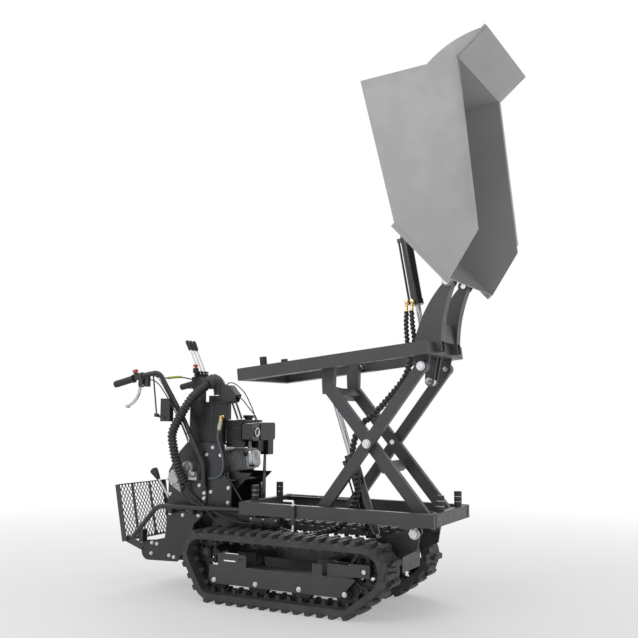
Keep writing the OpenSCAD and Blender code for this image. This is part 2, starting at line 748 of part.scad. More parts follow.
module upper_pins() {
    color("#c9ccd0") on_deck() {
        both() {
            cross_bar([0, 0], pin_d, outer_arm_y - arm_t - arm_gap - 14, outer_arm_y + 1);
            translate([0, outer_arm_y + 1, 0]) rotate([-90, 0, 0]) {
                cylinder(d = 42, h = 2);
                cylinder(d = 36, h = 14, $fn = 6);
            }
            cross_bar(skip_hinge, pin_d, swan_y - 6, 150);
            cross_bar(skip_hinge, 38, 149, 158);
            cross_bar(ram_foot, 36, 28, 36);
        }
        cross_bar(ram_foot, 20, -28, 28);
    }
}

// Point set in from corner p of an outline by t, square to both of its edges
function inset(a, p, b, t) = let (u = (p - a) / norm(p - a), v = (b - p) / norm(b - p),
        m = [-u[1], u[0]], n = [-v[1], v[0]], k = (m + n) / (1 + m * n)) p - t * k;

module at_hinge() {
    translate([hinge_at[0], 0, hinge_at[1]]) children();
}

module skip() {
    hw = skip_w / 2;
    floor_in = inset(rear_low, floor_bend, lip, -skip_t);
    rear_in = inset(rim_rear, rear_low, floor_bend, -skip_t);
    rim_v = (rim_rear - rim_front) / norm(rim_rear - rim_front);
    slope_v = (lip - floor_bend) / norm(lip - floor_bend);
    flap_v = (flap_tip - rim_rear) / norm(flap_tip - rim_rear);
    flap_root = rim_rear - 3 * flap_v + [-0.2, 0.3];
    color("#b4b5b6") at_hinge() {
        difference() {
            plate(-hw, hw) polygon([rear_low, floor_bend, lip, rim_front, rim_rear]);
            plate(-hw + skip_t, hw - skip_t) polygon([rear_in, floor_in,
                inset(floor_bend, lip, lip + slope_v, -skip_t), lip + slope_v * 300 + [0, skip_t],
                rim_rear + [400, 0], inset(rear_low, rim_rear, rim_rear + (rim_rear - rear_low), skip_t)]);
        }
        // Flared rear flap and its curved side gussets
        plate(-hw, hw) polygon([flap_root, flap_tip, flap_tip + [2, -3.5], flap_root + [2, -3.5]]);
        both() plate(hw - skip_t, hw) polygon(concat(bow(flap_tip, [-30, 961.5], -26, 8),
            [[-30, 958], rim_rear + [0, -4], rim_rear + [2, -3]]));
        // Rolled flange along both side walls
        both() {
            rim_strip(rim_front + rim_v * 40, rim_rear, hw - 1, hw + rim_w);
            plate(hw - skip_t, hw + rim_w - 6) polygon([flap_root + [0.6, -0.9], flap_tip + [-1, -2],
                flap_tip + [-4, 1], flap_root + [-2, 3]]);
            // Stiffening rail under the front slope
            plate(hw - 30, hw - 6) polygon([floor_bend, lip, lip + [-17, -16], floor_bend + [-17, -16]]);
            // Hinge lugs
            plate(swan_y + swan_w + 3, swan_y + swan_w + 11) difference() {
                union() {
                    circle(r = 26);
                    polygon([[-22, 14], [0, -26], [45, 8], [-59, 118]]);
                }
                circle(d = pin_d + 0.2);
            }
            // Lugs of the tipping ram's head
            plate(26, 34) difference() {
                union() {
                    translate(ram_head - hinge_at) circle(r = 20);
                    polygon([ram_head - hinge_at + [-2, 20], ram_head - hinge_at + [-2, -20],
                        [-236.5, 454], [-276, 613]]);
                }
                translate(ram_head - hinge_at) circle(r = 10.1);
            }
        }
    }
}
module rim_strip(a, b, y0, y1) {
    v = (b - a) / norm(b - a);
    n = [v[1], -v[0]];
    plate(y0, y1) polygon([a, b, b - n * 3, a - n * 3]);
}

module along_ram(foot, dir) {
    translate([foot[0], 0, foot[1]]) rotate([0, 90 - atan2(dir[1], dir[0]), 0]) children();
}

lift_len = norm(lift_head - lift_foot);
lift_open = 430;
module lift_ram_barrel() {
    color("#1f2022") along_ram(lift_foot, lift_dir) {
        difference() {
            union() {
                translate([0, 0, 34]) cylinder(d = lift_barrel_d, h = lift_open - 34);
                translate([0, 0, lift_open - 24]) cylinder(d = lift_barrel_d + 8, h = 24);
                rotate([90, 0, 0]) cylinder(r = 24, h = 40, center = true);
                translate([0, 0, 18]) cube([34, 40, 36], center = true);
                translate([-lift_barrel_d / 2 - 9, -18, 60]) cylinder(d = 9, h = lift_open - 96);
                for (z = [60, lift_open - 40]) translate([-lift_barrel_d / 2 - 14, -24, z])
                    cube([20, 14, 20]);
            }
            translate([0, 0, 44]) cylinder(d = lift_rod_d + 10, h = lift_open - 70);
            translate([0, 0, lift_open - 30]) cylinder(d = lift_rod_d + 0.1, h = 31);
        }
    }
}

module lift_ram_rod() {
    color("#d5d8db") along_ram(lift_foot, lift_dir) difference() {
        union() {
            translate([0, 0, 300]) cylinder(d = lift_rod_d, h = lift_len - 300);
            translate([0, 0, 300]) cylinder(d = lift_rod_d + 9.9, h = 24);
            translate([0, 0, lift_len]) rotate([90, 0, 0]) cylinder(r = 24, h = 40, center = true);
        }
        translate([0, 0, lift_len]) rotate([90, 0, 0]) cylinder(r = 12.05, h = 60, center = true);
    }
}

tip_len = norm(ram_head - ram_foot_at);
gland = 374;
tip_barrel_l = 345;
plunger_d = 44;
module tip_ram_rod() {
    color("#d5d8db") along_ram(ram_foot_at, ram_dir) difference() {
        union() {
            translate([0, 0, 16]) cylinder(d = tip_rod_d, h = 389);
            rotate([90, 0, 0]) cylinder(r = 20, h = 36, center = true);
        }
        rotate([90, 0, 0]) cylinder(r = 10.05, h = 60, center = true);
    }
}

module tip_ram_barrel() {
    color("#1f2022") along_ram(ram_foot_at, ram_dir) translate([0, 0, gland]) {
        difference() {
            union() {
                cylinder(d = tip_barrel_d, h = tip_barrel_l);
                cylinder(d = tip_barrel_d + 6, h = 26);
                translate([-tip_barrel_d / 2 - 9, -6, 20]) cylinder(d = 11, h = tip_barrel_l - 30);
                for (z = [8, tip_barrel_l - 26]) translate([-tip_barrel_d / 2 - 15, -13, z])
                    cube([22, 14, 20]);
            }
            translate([0, 0, 20]) cylinder(d = plunger_d + 2, h = tip_barrel_l - 40);
            translate([0, 0, -1]) cylinder(d = tip_rod_d + 0.1, h = 30);
            translate([0, 0, tip_barrel_l - 24]) cylinder(d = plunger_d + 0.1, h = 30);
        }
        // Two threaded stems that the hoses screw on to
        for (p = [[-tip_barrel_d / 2 - 9, -14, 18], [-2, -tip_barrel_d / 2 - 3, 13]])
            translate(p) rotate([90, 0, 0]) {
                cylinder(d = 16, h = 9, $fn = 6);
                translate([0, 0, 9]) cylinder(d = 12, h = 6);
            }
    }
}

module tip_ram_plunger() {
    color("#d5d8db") along_ram(ram_foot_at, ram_dir) difference() {
        union() {
            translate([0, 0, gland + tip_barrel_l - 48])
                cylinder(d = plunger_d, h = tip_len - gland - tip_barrel_l + 26);
            translate([0, 0, tip_len]) rotate([90, 0, 0]) cylinder(r = 20, h = 40, center = true);
        }
        translate([0, 0, gland + tip_barrel_l - 49])
            cylinder(d = tip_rod_d + 1, h = tip_len - gland - tip_barrel_l + 20);
        translate([0, 0, tip_len]) rotate([90, 0, 0]) cylinder(r = 10.1, h = 60, center = true);
    }
}

// Points of a smooth curve through chosen points, k to a span
function spline(p, k) = [for (i = [0:len(p) - 2]) for (j = [0:k - 1]) let (t = j / k,
        a = p[max(i - 1, 0)], b = p[i], c = p[i + 1], d = p[min(i + 2, len(p) - 1)])
        0.5 * (2 * b + (c - a) * t + (2 * a - 5 * b + 4 * c - d) * t * t
            + (3 * b - a - 3 * c + d) * t * t * t), p[len(p) - 1]];
function lengths(p, i = 0, s = 0) = i == len(p) - 1 ? [s]
    : concat([s], lengths(p, i + 1, s + norm(p[i + 1] - p[i])));
function seek(s, at, i = 0) = i >= len(s) - 2 || s[i + 1] >= at ? i : seek(s, at, i + 1);
// n + 1 points evenly spaced along a smooth curve
function even(p, n) = let (q = spline(p, 10), s = lengths(q), l = s[len(s) - 1])
    [for (k = [0:n]) let (at = l * k / n, i = seek(s, at))
        q[i] + (q[i + 1] - q[i]) * (at - s[i]) / (s[i + 1] - s[i])];
function route_l(p) = let (s = lengths(spline(p, 10))) s[len(s) - 1];
function ring(q, i, r, sides) = let (n = len(q) - 1, t = q[min(i + 1, n)] - q[max(i - 1, 0)],
        u = cross(t, [0, 1, 0]) / norm(cross(t, [0, 1, 0])), v = cross(u, t) / norm(t))
    [for (k = [0:sides - 1]) q[i] + r * (cos(k * 360 / sides) * u + sin(k * 360 / sides) * v)];
function skin(n, sides, out) = [for (i = [0:n - 1]) for (k = [0:sides - 1])
        let (a = i * sides + k, b = i * sides + (k + 1) % sides)
        for (f = out ? [[a, a + sides, b + sides], [a, b + sides, b]]
            : [[a, b + sides, a + sides], [a, b, b + sides]]) f];

// A tube swept along evenly spaced points with one radius for each of them
module hose(q, radii, sides = 8) {
    n = len(q) - 1;
    polyhedron([for (i = [0:n]) each ring(q, i, radii[i], sides)],
        concat(skin(n, sides, true), [[for (k = [0:sides - 1]) k]],
            [[for (k = [sides - 1:-1:0]) n * sides + k]]), convexity = 8);
}

// A ribbed hose with an open bore: the ribs are pairs of rings, the ends are plain
module ribbed_hose(p, d, depth, pitch, bore) {
    sides = 8;
    n = 2 * round(route_l(p) / pitch);
    q = even(p, n);
    outer = [for (i = [0:n]) each ring(q, i, d / 2 - (i % 2 == 0 ? depth : 0), sides)];
    inner = [for (i = [0:n]) each ring(q, i, bore / 2, sides)];
    m = (n + 1) * sides;
    polyhedron(concat(outer, inner), concat(skin(n, sides, true),
        [for (f = skin(n, sides, false)) f + [m, m, m]],
        [for (e = [0, 1]) for (k = [0:sides - 1]) let (a = e * n * sides + k,
            b = e * n * sides + (k + 1) % sides)
            for (f = e == 0 ? [[a, b, b + m], [a, b + m, a + m]]
                : [[a, b + m, b], [a, a + m, b + m]]) f]), convexity = 8);
}

loom_route = [[-539, -120, 1052], [-559, -170, 1012], [-575, -222, 968], [-629, -250, 866],
    [-657, -256, 800], [-656, -250, 738], [-646, -225, 637], [-633, -184, 546]];
boot_route = [[-500, -60, 1000], [-505, -66, 1045], [-520, -88, 1072], [-538, -117, 1056]];
module control_loom() {
    color("#2a2c2f") ribbed_hose(loom_route, loom_d, 3, loom_pitch, loom_d - 12);
    color("#55585a") ribbed_hose(boot_route, 62, 4, 14, 40);
}

thin_routes = [
    [[-624, -168, 536], [-610, -167, 500], [-565, -163, 462], [-505, -160, 425], [-360, -150, 368],
        [-251.5, -134, 358]],
    [[-644, -192, 536], [-636, -190, 495], [-600, -184, 458], [-512, -178, 424], [-440, -170, 366],
        [-340, -160, 322], [-251.5, -140, 318]]];
module thin_hoses() {
    color("#202124") for (p = thin_routes) hose(even(p, 24), [for (i = [0:24]) 5.5]);
}

lift_hose_route = [[-93.6, -130, 340], [0, -124, 322], [110, -100, 330], [215, -76, 372], [262, -64, 430],
    [296, -62, 520], [296, -60, 620], [270, -58, 720], [300, -50, 840], [374, -44, 905], [452, -50, 980],
    [540, -54, 1082], [574, -60, 1180], [580, -64, 1270], [584, -58, 1360], [566, -42, 1398]];
module ram_hoses() {
    n = 170;
    q = even(lift_hose_route, n);
    color("#26282b") hose(q, [for (i = [0:n]) i < 4 || i > n - 4 ? 7 : i % 2 == 0 ? 13 : 10.5], 6);
}

// Rectangle with round corners
module round_box(w, h, r) {
    for (x = [r, w - r]) for (y = [r, h - r]) translate([x, y]) circle(r = r);
    translate([r, 0]) square([w - 2 * r, h]);
    translate([0, r]) square([w, h - 2 * r]);
}

case_at = [-500, 655];
case_r = 84;
blower_y = 10;
barrel_y = -67;
muffler_z = 765;
module engine_block() {
    color("#6a6d70") {
        cross_bar(case_at, 2 * case_r, -130, blower_y);
        cross_bar(case_at, 130, -140, -129);
        cross_bar(case_at, 24, -143.5, -139);
        box([case_at[0] - 84, -128, plate_z], [case_at[0] + 84, blower_y - 2, 600]);
        // Finned cylinder, its head, the rocker cover and the exhaust pipe
        translate([-400, barrel_y, 662]) rotate([0, -8, 0]) {
            box([-40, -40, -44], [105, 40, 44]);
            for (i = [0:10]) box([i * 9, -46, -54], [i * 9 + 2.5, 46, 54]);
            box([104, -46, -50], [114, 46, 50]);
            translate([113, -42, -42]) rotate([90, 0, 90]) linear_extrude(18) round_box(84, 84, 20);
        }
        translate([-320, -50, 700]) cylinder(d = 20, h = muffler_z - 700);
    }
}

tank_lo = [-440, -104, 758.5];
tank_hi = [-336, 112, 868];
engine_front = -264;
module fuel_tank() {
    color("#1d1e20") {
        translate([tank_lo[0], tank_lo[1], tank_lo[2]]) linear_extrude(tank_hi[2] - tank_lo[2])
            round_box(tank_hi[0] - tank_lo[0], tank_hi[1] - tank_lo[1], 22);
        translate([tank_lo[0] - 5, tank_lo[1] - 5, tank_lo[2] + 64]) linear_extrude(8)
            round_box(tank_hi[0] - tank_lo[0] + 10, tank_hi[1] - tank_lo[1] + 10, 26);
        translate([-392, 50, tank_hi[2] - 1]) {
            cylinder(d = 40, h = 12);
            translate([0, 0, 10]) cylinder(d = 58, h = 16);
        }
        // Shroud over the cylinder
        box([-425, -108, 730.5], [-331, 60, tank_lo[2] + 1]);
    }
}

module air_filter() {
    color("#1b1c1e") {
        translate([tank_hi[0] + 5, -34, 766]) rotate([90, 0, 90])
            linear_extrude(engine_front - tank_hi[0] - 5) round_box(146, 90, 16);
        // Carburettor and the bracket under the filter
        box([-330, -12, 706], [-290, 50, 770]);
        box([-320, 56, 690], [-272, 108, 770]);
    }
}

module muffler() {
    color("#34363a") {
        translate([tank_hi[0] + 5, -106, muffler_z]) rotate([90, 0, 90])
            linear_extrude(engine_front - tank_hi[0] - 10) round_box(69, 88, 12);
        // Outlet at the near front corner
        translate([engine_front - 6, -68, 808]) rotate([0, 90, 0]) difference() {
            cylinder(d = 46, h = 8);
            translate([0, 0, 3]) cylinder(d = 38, h = 6);
        }
    }
}

module recoil_starter() {
    far = 112;
    color("#2b2d30") {
        difference() {
            translate([case_at[0], blower_y, case_at[1]]) rotate([-90, 0, 0])
                cylinder(r = case_r - 2, h = far - blower_y);
            for (i = [0:11]) translate([case_at[0], far, case_at[1]]) rotate([0, i * 30, 0])
                translate([-4, -8, 36]) cube([8, 9, 34]);
        }
        translate([case_at[0] - 50, far - 18, case_at[1] + 52]) rotate([0, -40, 0]) {
            cylinder(d = 12, h = 26);
            translate([-22, 0, 24]) rotate([0, 90, 0]) cylinder(d = 16, h = 44);
        }
    }
}

module gearbox() {
    color("#8d9092") {
        translate([-700, -mount_y, 566]) rotate([90, 0, 0]) {
            cylinder(r = 44, h = 18);
            cylinder(r = 30, h = 30);
        }
        translate([-622, -mount_y, 622]) rotate([90, 0, 0]) {
            cylinder(r = 34, h = 22);
            cylinder(r = 18, h = 36);
        }
        translate([-716, -mount_y - 14, 520]) rotate([0, 28, 0]) cube([54, 13, 34]);
        box([-610, -mount_y - 30, 560], [-556, -mount_y, 602]);
        box([-740, -mount_y + mount_t, body_top + deck_t], [-570, mount_y - mount_t, 560]);
    }
}

module hydraulic_pump() {
    color("#232427") {
        box([-250, -150, 302], [-94.5, -cradle_w, 392]);
        for (x = [-236, -120]) cross_bar([x, 347], 30, -162, -149);
        cross_bar([-190, 350], 44, -160, -149);
        for (x = [-216, -158]) box([x, -156, 306], [x + 22, -149, 330]);
        box([-236, -140, 391], [-222, -126, body_top]);
        box([-132, -140, 391], [-118, -126, body_top]);
    }
}

oil_lo = [-640, -140, 750];
oil_hi = [-492, -50, 955];
module hydraulic_tank() {
    color("#1c1e20") {
        translate([oil_lo[0], oil_lo[1], oil_lo[2]]) linear_extrude(oil_hi[2] - oil_lo[2])
            round_box(oil_hi[0] - oil_lo[0], oil_hi[1] - oil_lo[1], 10);
        box([oil_lo[0] - 6, oil_lo[1] - 6, oil_hi[2] - 1], [-404, oil_hi[1] + 6, oil_hi[2] + 5]);
        box([oil_hi[0] - 1, oil_lo[1] + 6, 870], [-410, oil_hi[1] - 40, oil_hi[2]]);
        box([oil_hi[0] - 1, oil_lo[1] + 2, oil_lo[2]], [-426, oil_hi[1] - 60, 871]);
        for (x = [-628, -584, -540, -500, -460, -420]) translate([x, oil_lo[1] + 2, oil_hi[2] + 4])
            cylinder(d = 11, h = 6, $fn = 6);
        translate([-500, (cover_far - 106) / 2, oil_hi[2] + 4]) cylinder(d = 34, h = 20);
    }
}

shelf_z = 1030;
lever_at = [-628, 1112];
lever_ys = [-74, -44, -14];
cover_far = oil_hi[1] - 2;
module lever_block() {
    top = oil_hi[2] + 5;
    color("#2a2b2e") {
        box([-690, -110, shelf_z], [-548, 20, shelf_z + 5]);
        for (y = [-110, oil_hi[1]]) box([-640, y, top], [-600, y + 5, shelf_z + 1]);
        // Valve body with an ear each side of every lever
        box([-660, -96, shelf_z + 4], [-596, 10, shelf_z + 62]);
        for (y = lever_ys) for (s = [-9, 6]) translate([0, y + s, 0]) plate(0, 3) difference() {
            rect([lever_at[0] - 11, shelf_z + 61], lever_at + [11, 11]);
            translate(lever_at) circle(d = 8);
        }
        for (y = lever_ys) cross_bar(lever_at, 8, y - 9, y + 9);
        // Bent sheet cover over the linkage
        plate(-104, cover_far - 2) polygon([[-374, top + 38], [-420, 1046], [-464, 1049.2], [-464, 1046.2],
            [-421.5, 1042.5], [-376, top + 35]]);
        // Pair of straps from the cover down to the fuel tank
        for (x = [0, 24]) strut([x - 414, 996], [x - 362, 874.5], 9, -103.5, -99);
        box([-368, -103.5, 868.2], [-332, -80, 872]);
        for (y = [-106, cover_far - 3]) translate([0, y, 0]) plate(0, 3) polygon([[-540, top], [-388, top],
            [-372, top + 36], [-419, 1047], [-464, 1050.2], [-466, 1004], [-474, 993], [-540, 993]]);
    }
}

bar_route = [[-518, -164, 520], [-521, -174, 640], [-634, -196, 872], [-748, -262, 1112],
    [-806, -290, 1098.9], [-876, -290, 1082]];
bar_bends = [110, 200, 36, 60];
grip_from = [-888, -290, 1079];
grip_dir = [-0.972, 0, -0.235];
brake_at = [-838, -290, 1046];

module handlebar() {
    color("#3a3c3f") both() {
        bent_bar(bar_route, bar_d, bar_bends);
        rod(grip_from - 16 * grip_dir, grip_from + grip_l * grip_dir, 22);
        plate(-158, -mount_y) union() {
            rect([-533, 455], [-507, 526]);
            translate([-520, 455]) circle(r = 13);
        }
        box([-531, -170, 512], [-509, -152, 528]);
        // Clamp and fork that carry the hand lever
        translate([-846, -288, 1090]) rotate([0, -104, 0]) cylinder(d = bar_d + 14, h = 28, center = true);
        // Housing that the stop button runs in
        at_switch() difference() {
            translate([0, 0, -6]) cylinder(d = 26, h = 32);
            translate([0, 0, 14]) cylinder(d = 14.2, h = 14);
        }
        for (s = [-12, 8]) translate([0, -290 + s, 0]) plate(0, 4) {
            translate([brake_at[0], brake_at[2]]) circle(r = 13);
            rect([brake_at[0] - 13, brake_at[2]], [brake_at[0] + 13, 1082]);
        }
        cross_bar([brake_at[0], brake_at[2]], 8, -302, -278);
        box([-814, -292, 1036], [-794, -272, 1096]);
    }
    // Linkage rod and its black box on the near side
    color("#2a2b2e") {
        rod([-776, -275, 1104], [-769, -247, 892], 8);
        cross_bar([-769, 890], 20, -256, -236);
        strut([-766, 886], [-718, 878], 12, -247, -240);
        box([-750, -241, 858], [-690, -209, 976]);
        box([-692, -228, 928], [-652, -216, 950]);
    }
}

module hand_grips() {
    color("#17181a") both() difference() {
        union() {
            rod(grip_from, grip_from + (grip_l + 3) * grip_dir, grip_d);
            rod(grip_from, grip_from + 8 * grip_dir, grip_d + 8);
        }
        rod(grip_from - grip_dir, grip_from + grip_l * grip_dir, 22.05);
    }
}

module at_switch() {
    translate([-873, -290, 1082.7]) rotate([0, -13.6, 0]) children();
}
module kill_switch() {
    color("#c01818") at_switch() {
        translate([0, 0, 19]) cylinder(d = 14, h = 12);
        translate([0, 0, 30]) cylinder(d1 = 32, d2 = 27, h = 13);
    }
}

// Curved hand lever with a ball end
module brake_lever() {
    p = bow([brake_at[0] - 8, brake_at[2] - 2], [-925, 934], 22, 8);
    color("#c4c7ca") {
        difference() {
            union() {
                plate(-295, -285) polygon(concat([for (i = [0:8]) p[i] + 6.5 * side_of(p, i)],
                    [for (i = [8:-1:0]) p[i] - 6.5 * side_of(p, i)]));
                cross_bar([brake_at[0], brake_at[2]], 20, -297, -283);
            }
            cross_bar([brake_at[0], brake_at[2]], 8.1, -300, -280);
        }
        cross_bar(p[8], 20, -298, -282);
    }
}

module valve_lever(i) {
    foot = [lever_at[0], lever_ys[i], lever_at[1]];
    top = foot + [-82, 0, 168];
    v = (top - foot) / norm(top - foot);
    color("#d0d3d6") {
        difference() {
            cross_bar(lever_at, 18, lever_ys[i] - 5, lever_ys[i] + 5);
            cross_bar(lever_at, 8.1, lever_ys[i] - 6, lever_ys[i] + 6);
        }
        rod(foot + 7 * v, top - 20 * v, 9);
    }
    color("#1b1c1e") {
        rod(top - 46 * v, top, 17, 21);
        rod(top - v, top + 9 * v, 21, 12);
    }
}

gear_at = [-800, 420];
module gear_lever() {
    foot = [gear_at[0], -56, gear_at[1]];
    knob = [-905, -56, 561];
    v = (knob - foot) / norm(knob - foot);
    color("#c6c9cc") {
        difference() {
            cross_bar(gear_at, 26, -62, -50);
            cross_bar(gear_at, 12.1, -70, -40);
        }
        rod(foot + 10 * v, knob, 11);
    }
    color("#1b1c1e") {
        rod(knob - 20 * v, knob + 34 * v, 20, 44);
        rod(knob + 33.5 * v, knob + 44 * v, 44, 26);
    }
}

module lock_pin() {
    color("#d2d5d8") translate([lock_x, lock_y, 0]) {
        translate([0, 0, rail_low - 62]) cylinder(d = 12, h = rail_h + 82);
        translate([0, 0, rail_low - 70]) cylinder(d1 = 7, d2 = 12, h = 8.5);
        translate([-52, 0, deck_z + 19]) rotate([0, 90, 0]) cylinder(d = 11, h = 54);
        translate([0, 0, deck_z + 0.5]) cylinder(d = 24, h = 4);
    }
}

step_back = -1003;
step_low = 222;
mesh_pitch = [26, 18];
// Folding step of expanded metal in a bent frame, hinged between the rear plates
module step_plate() {
    w = step_w / 2;
    arm_y = body_w - body_t - 8;
    color("#3c3e40") {
        difference() {
            union() {
                both() {
                    strut(step_hinge, [step_back + 8, step_low + 16], 34, arm_y - 6, arm_y);
                    cross_bar(step_hinge, 34, arm_y - 6, arm_y);
                }
            }
            both() cross_bar(step_hinge, 16.1, arm_y - 10, arm_y + 10);
        }
        translate([step_back, 0, step_low]) rotate([0, -11.5, 0]) {
            // Side flanges, rails and the mesh between them
            both() box([-8, w - 4, 0], [22, w, step_h]);
            for (z = [0, step_h - 4]) box([-8, -w + 1, z], [22, w - 1, z + 4]);
            both() box([0, w / 3, 3], [6, w / 3 + 14, step_h - 3]);
            translate([0, 0, 0]) rotate([90, 0, 90]) linear_extrude(3) difference() {
                translate([-w + 1, 1]) square([2 * w - 2, step_h - 2]);
                nx = floor((w - 14) / mesh_pitch[0]);
                nz = floor((step_h - 20) / mesh_pitch[1]);
                for (k = [0:nz]) for (i = [-nx:nx - (k % 2)])
                    translate([(i + (k % 2) / 2) * mesh_pitch[0], 10 + (k + 0.5) * mesh_pitch[1]])
                        polygon([[-mesh_pitch[0] / 2 + 2.5, 0], [0, -mesh_pitch[1] + 2],
                            [mesh_pitch[0] / 2 - 2.5, 0], [0, mesh_pitch[1] - 2]]);
            }
        }
    }
}

module placed() {
    translate([-middle_x, 0, 0]) children();
}
module on_track(far) {
    if (far) mirror([0, 1, 0]) translate([0, -track_y, 0]) children();
    else translate([0, -track_y, 0]) children();
}

placed() chassis();
placed() on_track(false) track_frame();  // near_track_frame
placed() on_track(true) track_frame();  // far_track_frame
placed() on_track(false) track_belt();  // near_track_belt
placed() on_track(true) track_belt();  // far_track_belt
placed() on_track(false) sprocket();  // near_sprocket
placed() on_track(true) sprocket();  // far_sprocket
placed() on_track(false) idler();  // near_idler
placed() on_track(true) idler();  // far_idler
placed() on_track(false) roller(0);  // near_roller_1
placed() on_track(false) roller(1);  // near_roller_2
placed() on_track(false) roller(2);  // near_roller_3
placed() on_track(false) roller(3);  // near_roller_4
placed() on_track(true) roller(0);  // far_roller_1
placed() on_track(true) roller(1);  // far_roller_2
placed() on_track(true) roller(2);  // far_roller_3
placed() on_track(true) roller(3);  // far_roller_4
placed() chassis_bolts();
placed() lower_frame();
placed() lower_post_caps();
placed() inner_arms();
placed() arm_pins();
placed() outer_arms();
placed() slide_rollers(lower_roller);  // lower_slide_rollers
placed() slide_rollers(slide_at);  // upper_slide_rollers
placed() upper_frame();
placed() tip_arms();
placed() upper_post_caps();
placed() upper_pins();
placed() skip();
placed() lift_ram_barrel();
placed() lift_ram_rod();
placed() tip_ram_rod();
placed() tip_ram_barrel();
placed() tip_ram_plunger();
placed() ram_hoses();
placed() engine_mount();
placed() engine_block();
placed() fuel_tank();
placed() air_filter();
placed() muffler();
placed() recoil_starter();
placed() gearbox();
placed() hydraulic_pump();
placed() hydraulic_tank();
placed() lever_block();
placed() handlebar();
placed() hand_grips();
placed() kill_switch();  // near_kill_switch
placed() mirror([0, 1, 0]) kill_switch();  // far_kill_switch
placed() control_loom();
placed() thin_hoses();
placed() step_plate();
placed() gear_lever();
placed() valve_lever(0);  // valve_lever_1
placed() valve_lever(1);  // valve_lever_2
placed() valve_lever(2);  // valve_lever_3
placed() brake_lever();  // near_brake_lever
placed() mirror([0, 1, 0]) brake_lever();  // far_brake_lever
placed() lock_pin();
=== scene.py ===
"""Looks for a tracked power carrier: paint, rubber, chrome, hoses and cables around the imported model."""

import json
import math

import bpy
from bpy.props import FloatProperty, FloatVectorProperty, IntProperty, PointerProperty
from bpy.types import Operator, Panel, PropertyGroup
from mathutils import Matrix, Vector


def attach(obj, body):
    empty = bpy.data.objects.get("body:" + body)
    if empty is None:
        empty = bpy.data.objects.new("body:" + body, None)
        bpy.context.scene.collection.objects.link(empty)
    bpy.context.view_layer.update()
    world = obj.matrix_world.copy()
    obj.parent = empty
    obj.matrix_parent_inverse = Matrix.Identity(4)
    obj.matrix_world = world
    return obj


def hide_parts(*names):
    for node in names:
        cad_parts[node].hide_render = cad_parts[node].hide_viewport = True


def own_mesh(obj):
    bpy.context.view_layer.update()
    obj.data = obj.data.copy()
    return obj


bl_info = {
    "name": "Power Carrier Dresser",
    "version": (1, 0, 0),
    "blender": (4, 5, 0),
    "location": "View3D > Sidebar > Carrier",
    "description": "Dresses the packed model of a tracked power carrier with finishes, hoses and cables",
    "category": "Object",
}

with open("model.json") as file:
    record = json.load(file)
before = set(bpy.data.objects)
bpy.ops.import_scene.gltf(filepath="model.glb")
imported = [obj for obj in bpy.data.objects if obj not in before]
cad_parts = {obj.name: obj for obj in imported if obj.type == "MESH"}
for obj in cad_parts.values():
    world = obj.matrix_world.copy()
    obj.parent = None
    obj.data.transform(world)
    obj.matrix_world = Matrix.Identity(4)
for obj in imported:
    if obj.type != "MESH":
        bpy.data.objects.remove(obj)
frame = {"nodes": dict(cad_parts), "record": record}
NODES = frame["nodes"]
MM = 0.001
# The machine's own zero, the middle of its tracks, measured from the frame's origin
MACHINE_X = 0.0165
IMAGE_PX = 638
NEAR, FRONT, UP = (0, -1, 0), (1, 0, 0), (0, 0, 1)


def at(x, y, z):
    """A point in the machine's millimetres as a point of the frame in metres."""
    return Vector((x * MM + MACHINE_X, y * MM, z * MM))


class CarrierSizes(PropertyGroup):
    """Sizes of the pieces that are added to the model."""

    loom_d: FloatProperty(name="Loom diameter", description="Outer diameter of the control loom",
                          default=0.048, min=0.03, max=0.054, unit="LENGTH")
    loom_pitch: FloatProperty(name="Loom pitch", description="Pitch of the turns of the loom's spiral",
                              default=0.0175, min=0.01, max=0.03, unit="LENGTH")
    guard_d: FloatProperty(name="Guard diameter",
                           description="Outer diameter of the spiral guard on the ram hoses",
                           default=0.033, min=0.02, max=0.038, unit="LENGTH")
    guard_pitch: FloatProperty(name="Guard pitch", description="Pitch of the spiral guard's turns",
                               default=0.023, min=0.012, max=0.03, unit="LENGTH")
    hose_d: FloatProperty(name="Hose diameter", description="Outer diameter of a plain hydraulic hose",
                          default=0.011, min=0.008, max=0.014, unit="LENGTH")
    edge_r: FloatProperty(name="Edge radius", description="Radius that painted edges seem to have",
                          default=0.0016, min=0.0, max=0.004, unit="LENGTH")
    tube_sides: IntProperty(name="Tube sides", description="Faces round a hose", default=20, min=8, max=48)


def colour(name, words, value):
    """A colour property with its name, description and default."""
    return FloatVectorProperty(name=name, description=words, default=value, size=3, min=0.0, max=1.0,
                               subtype="COLOR")


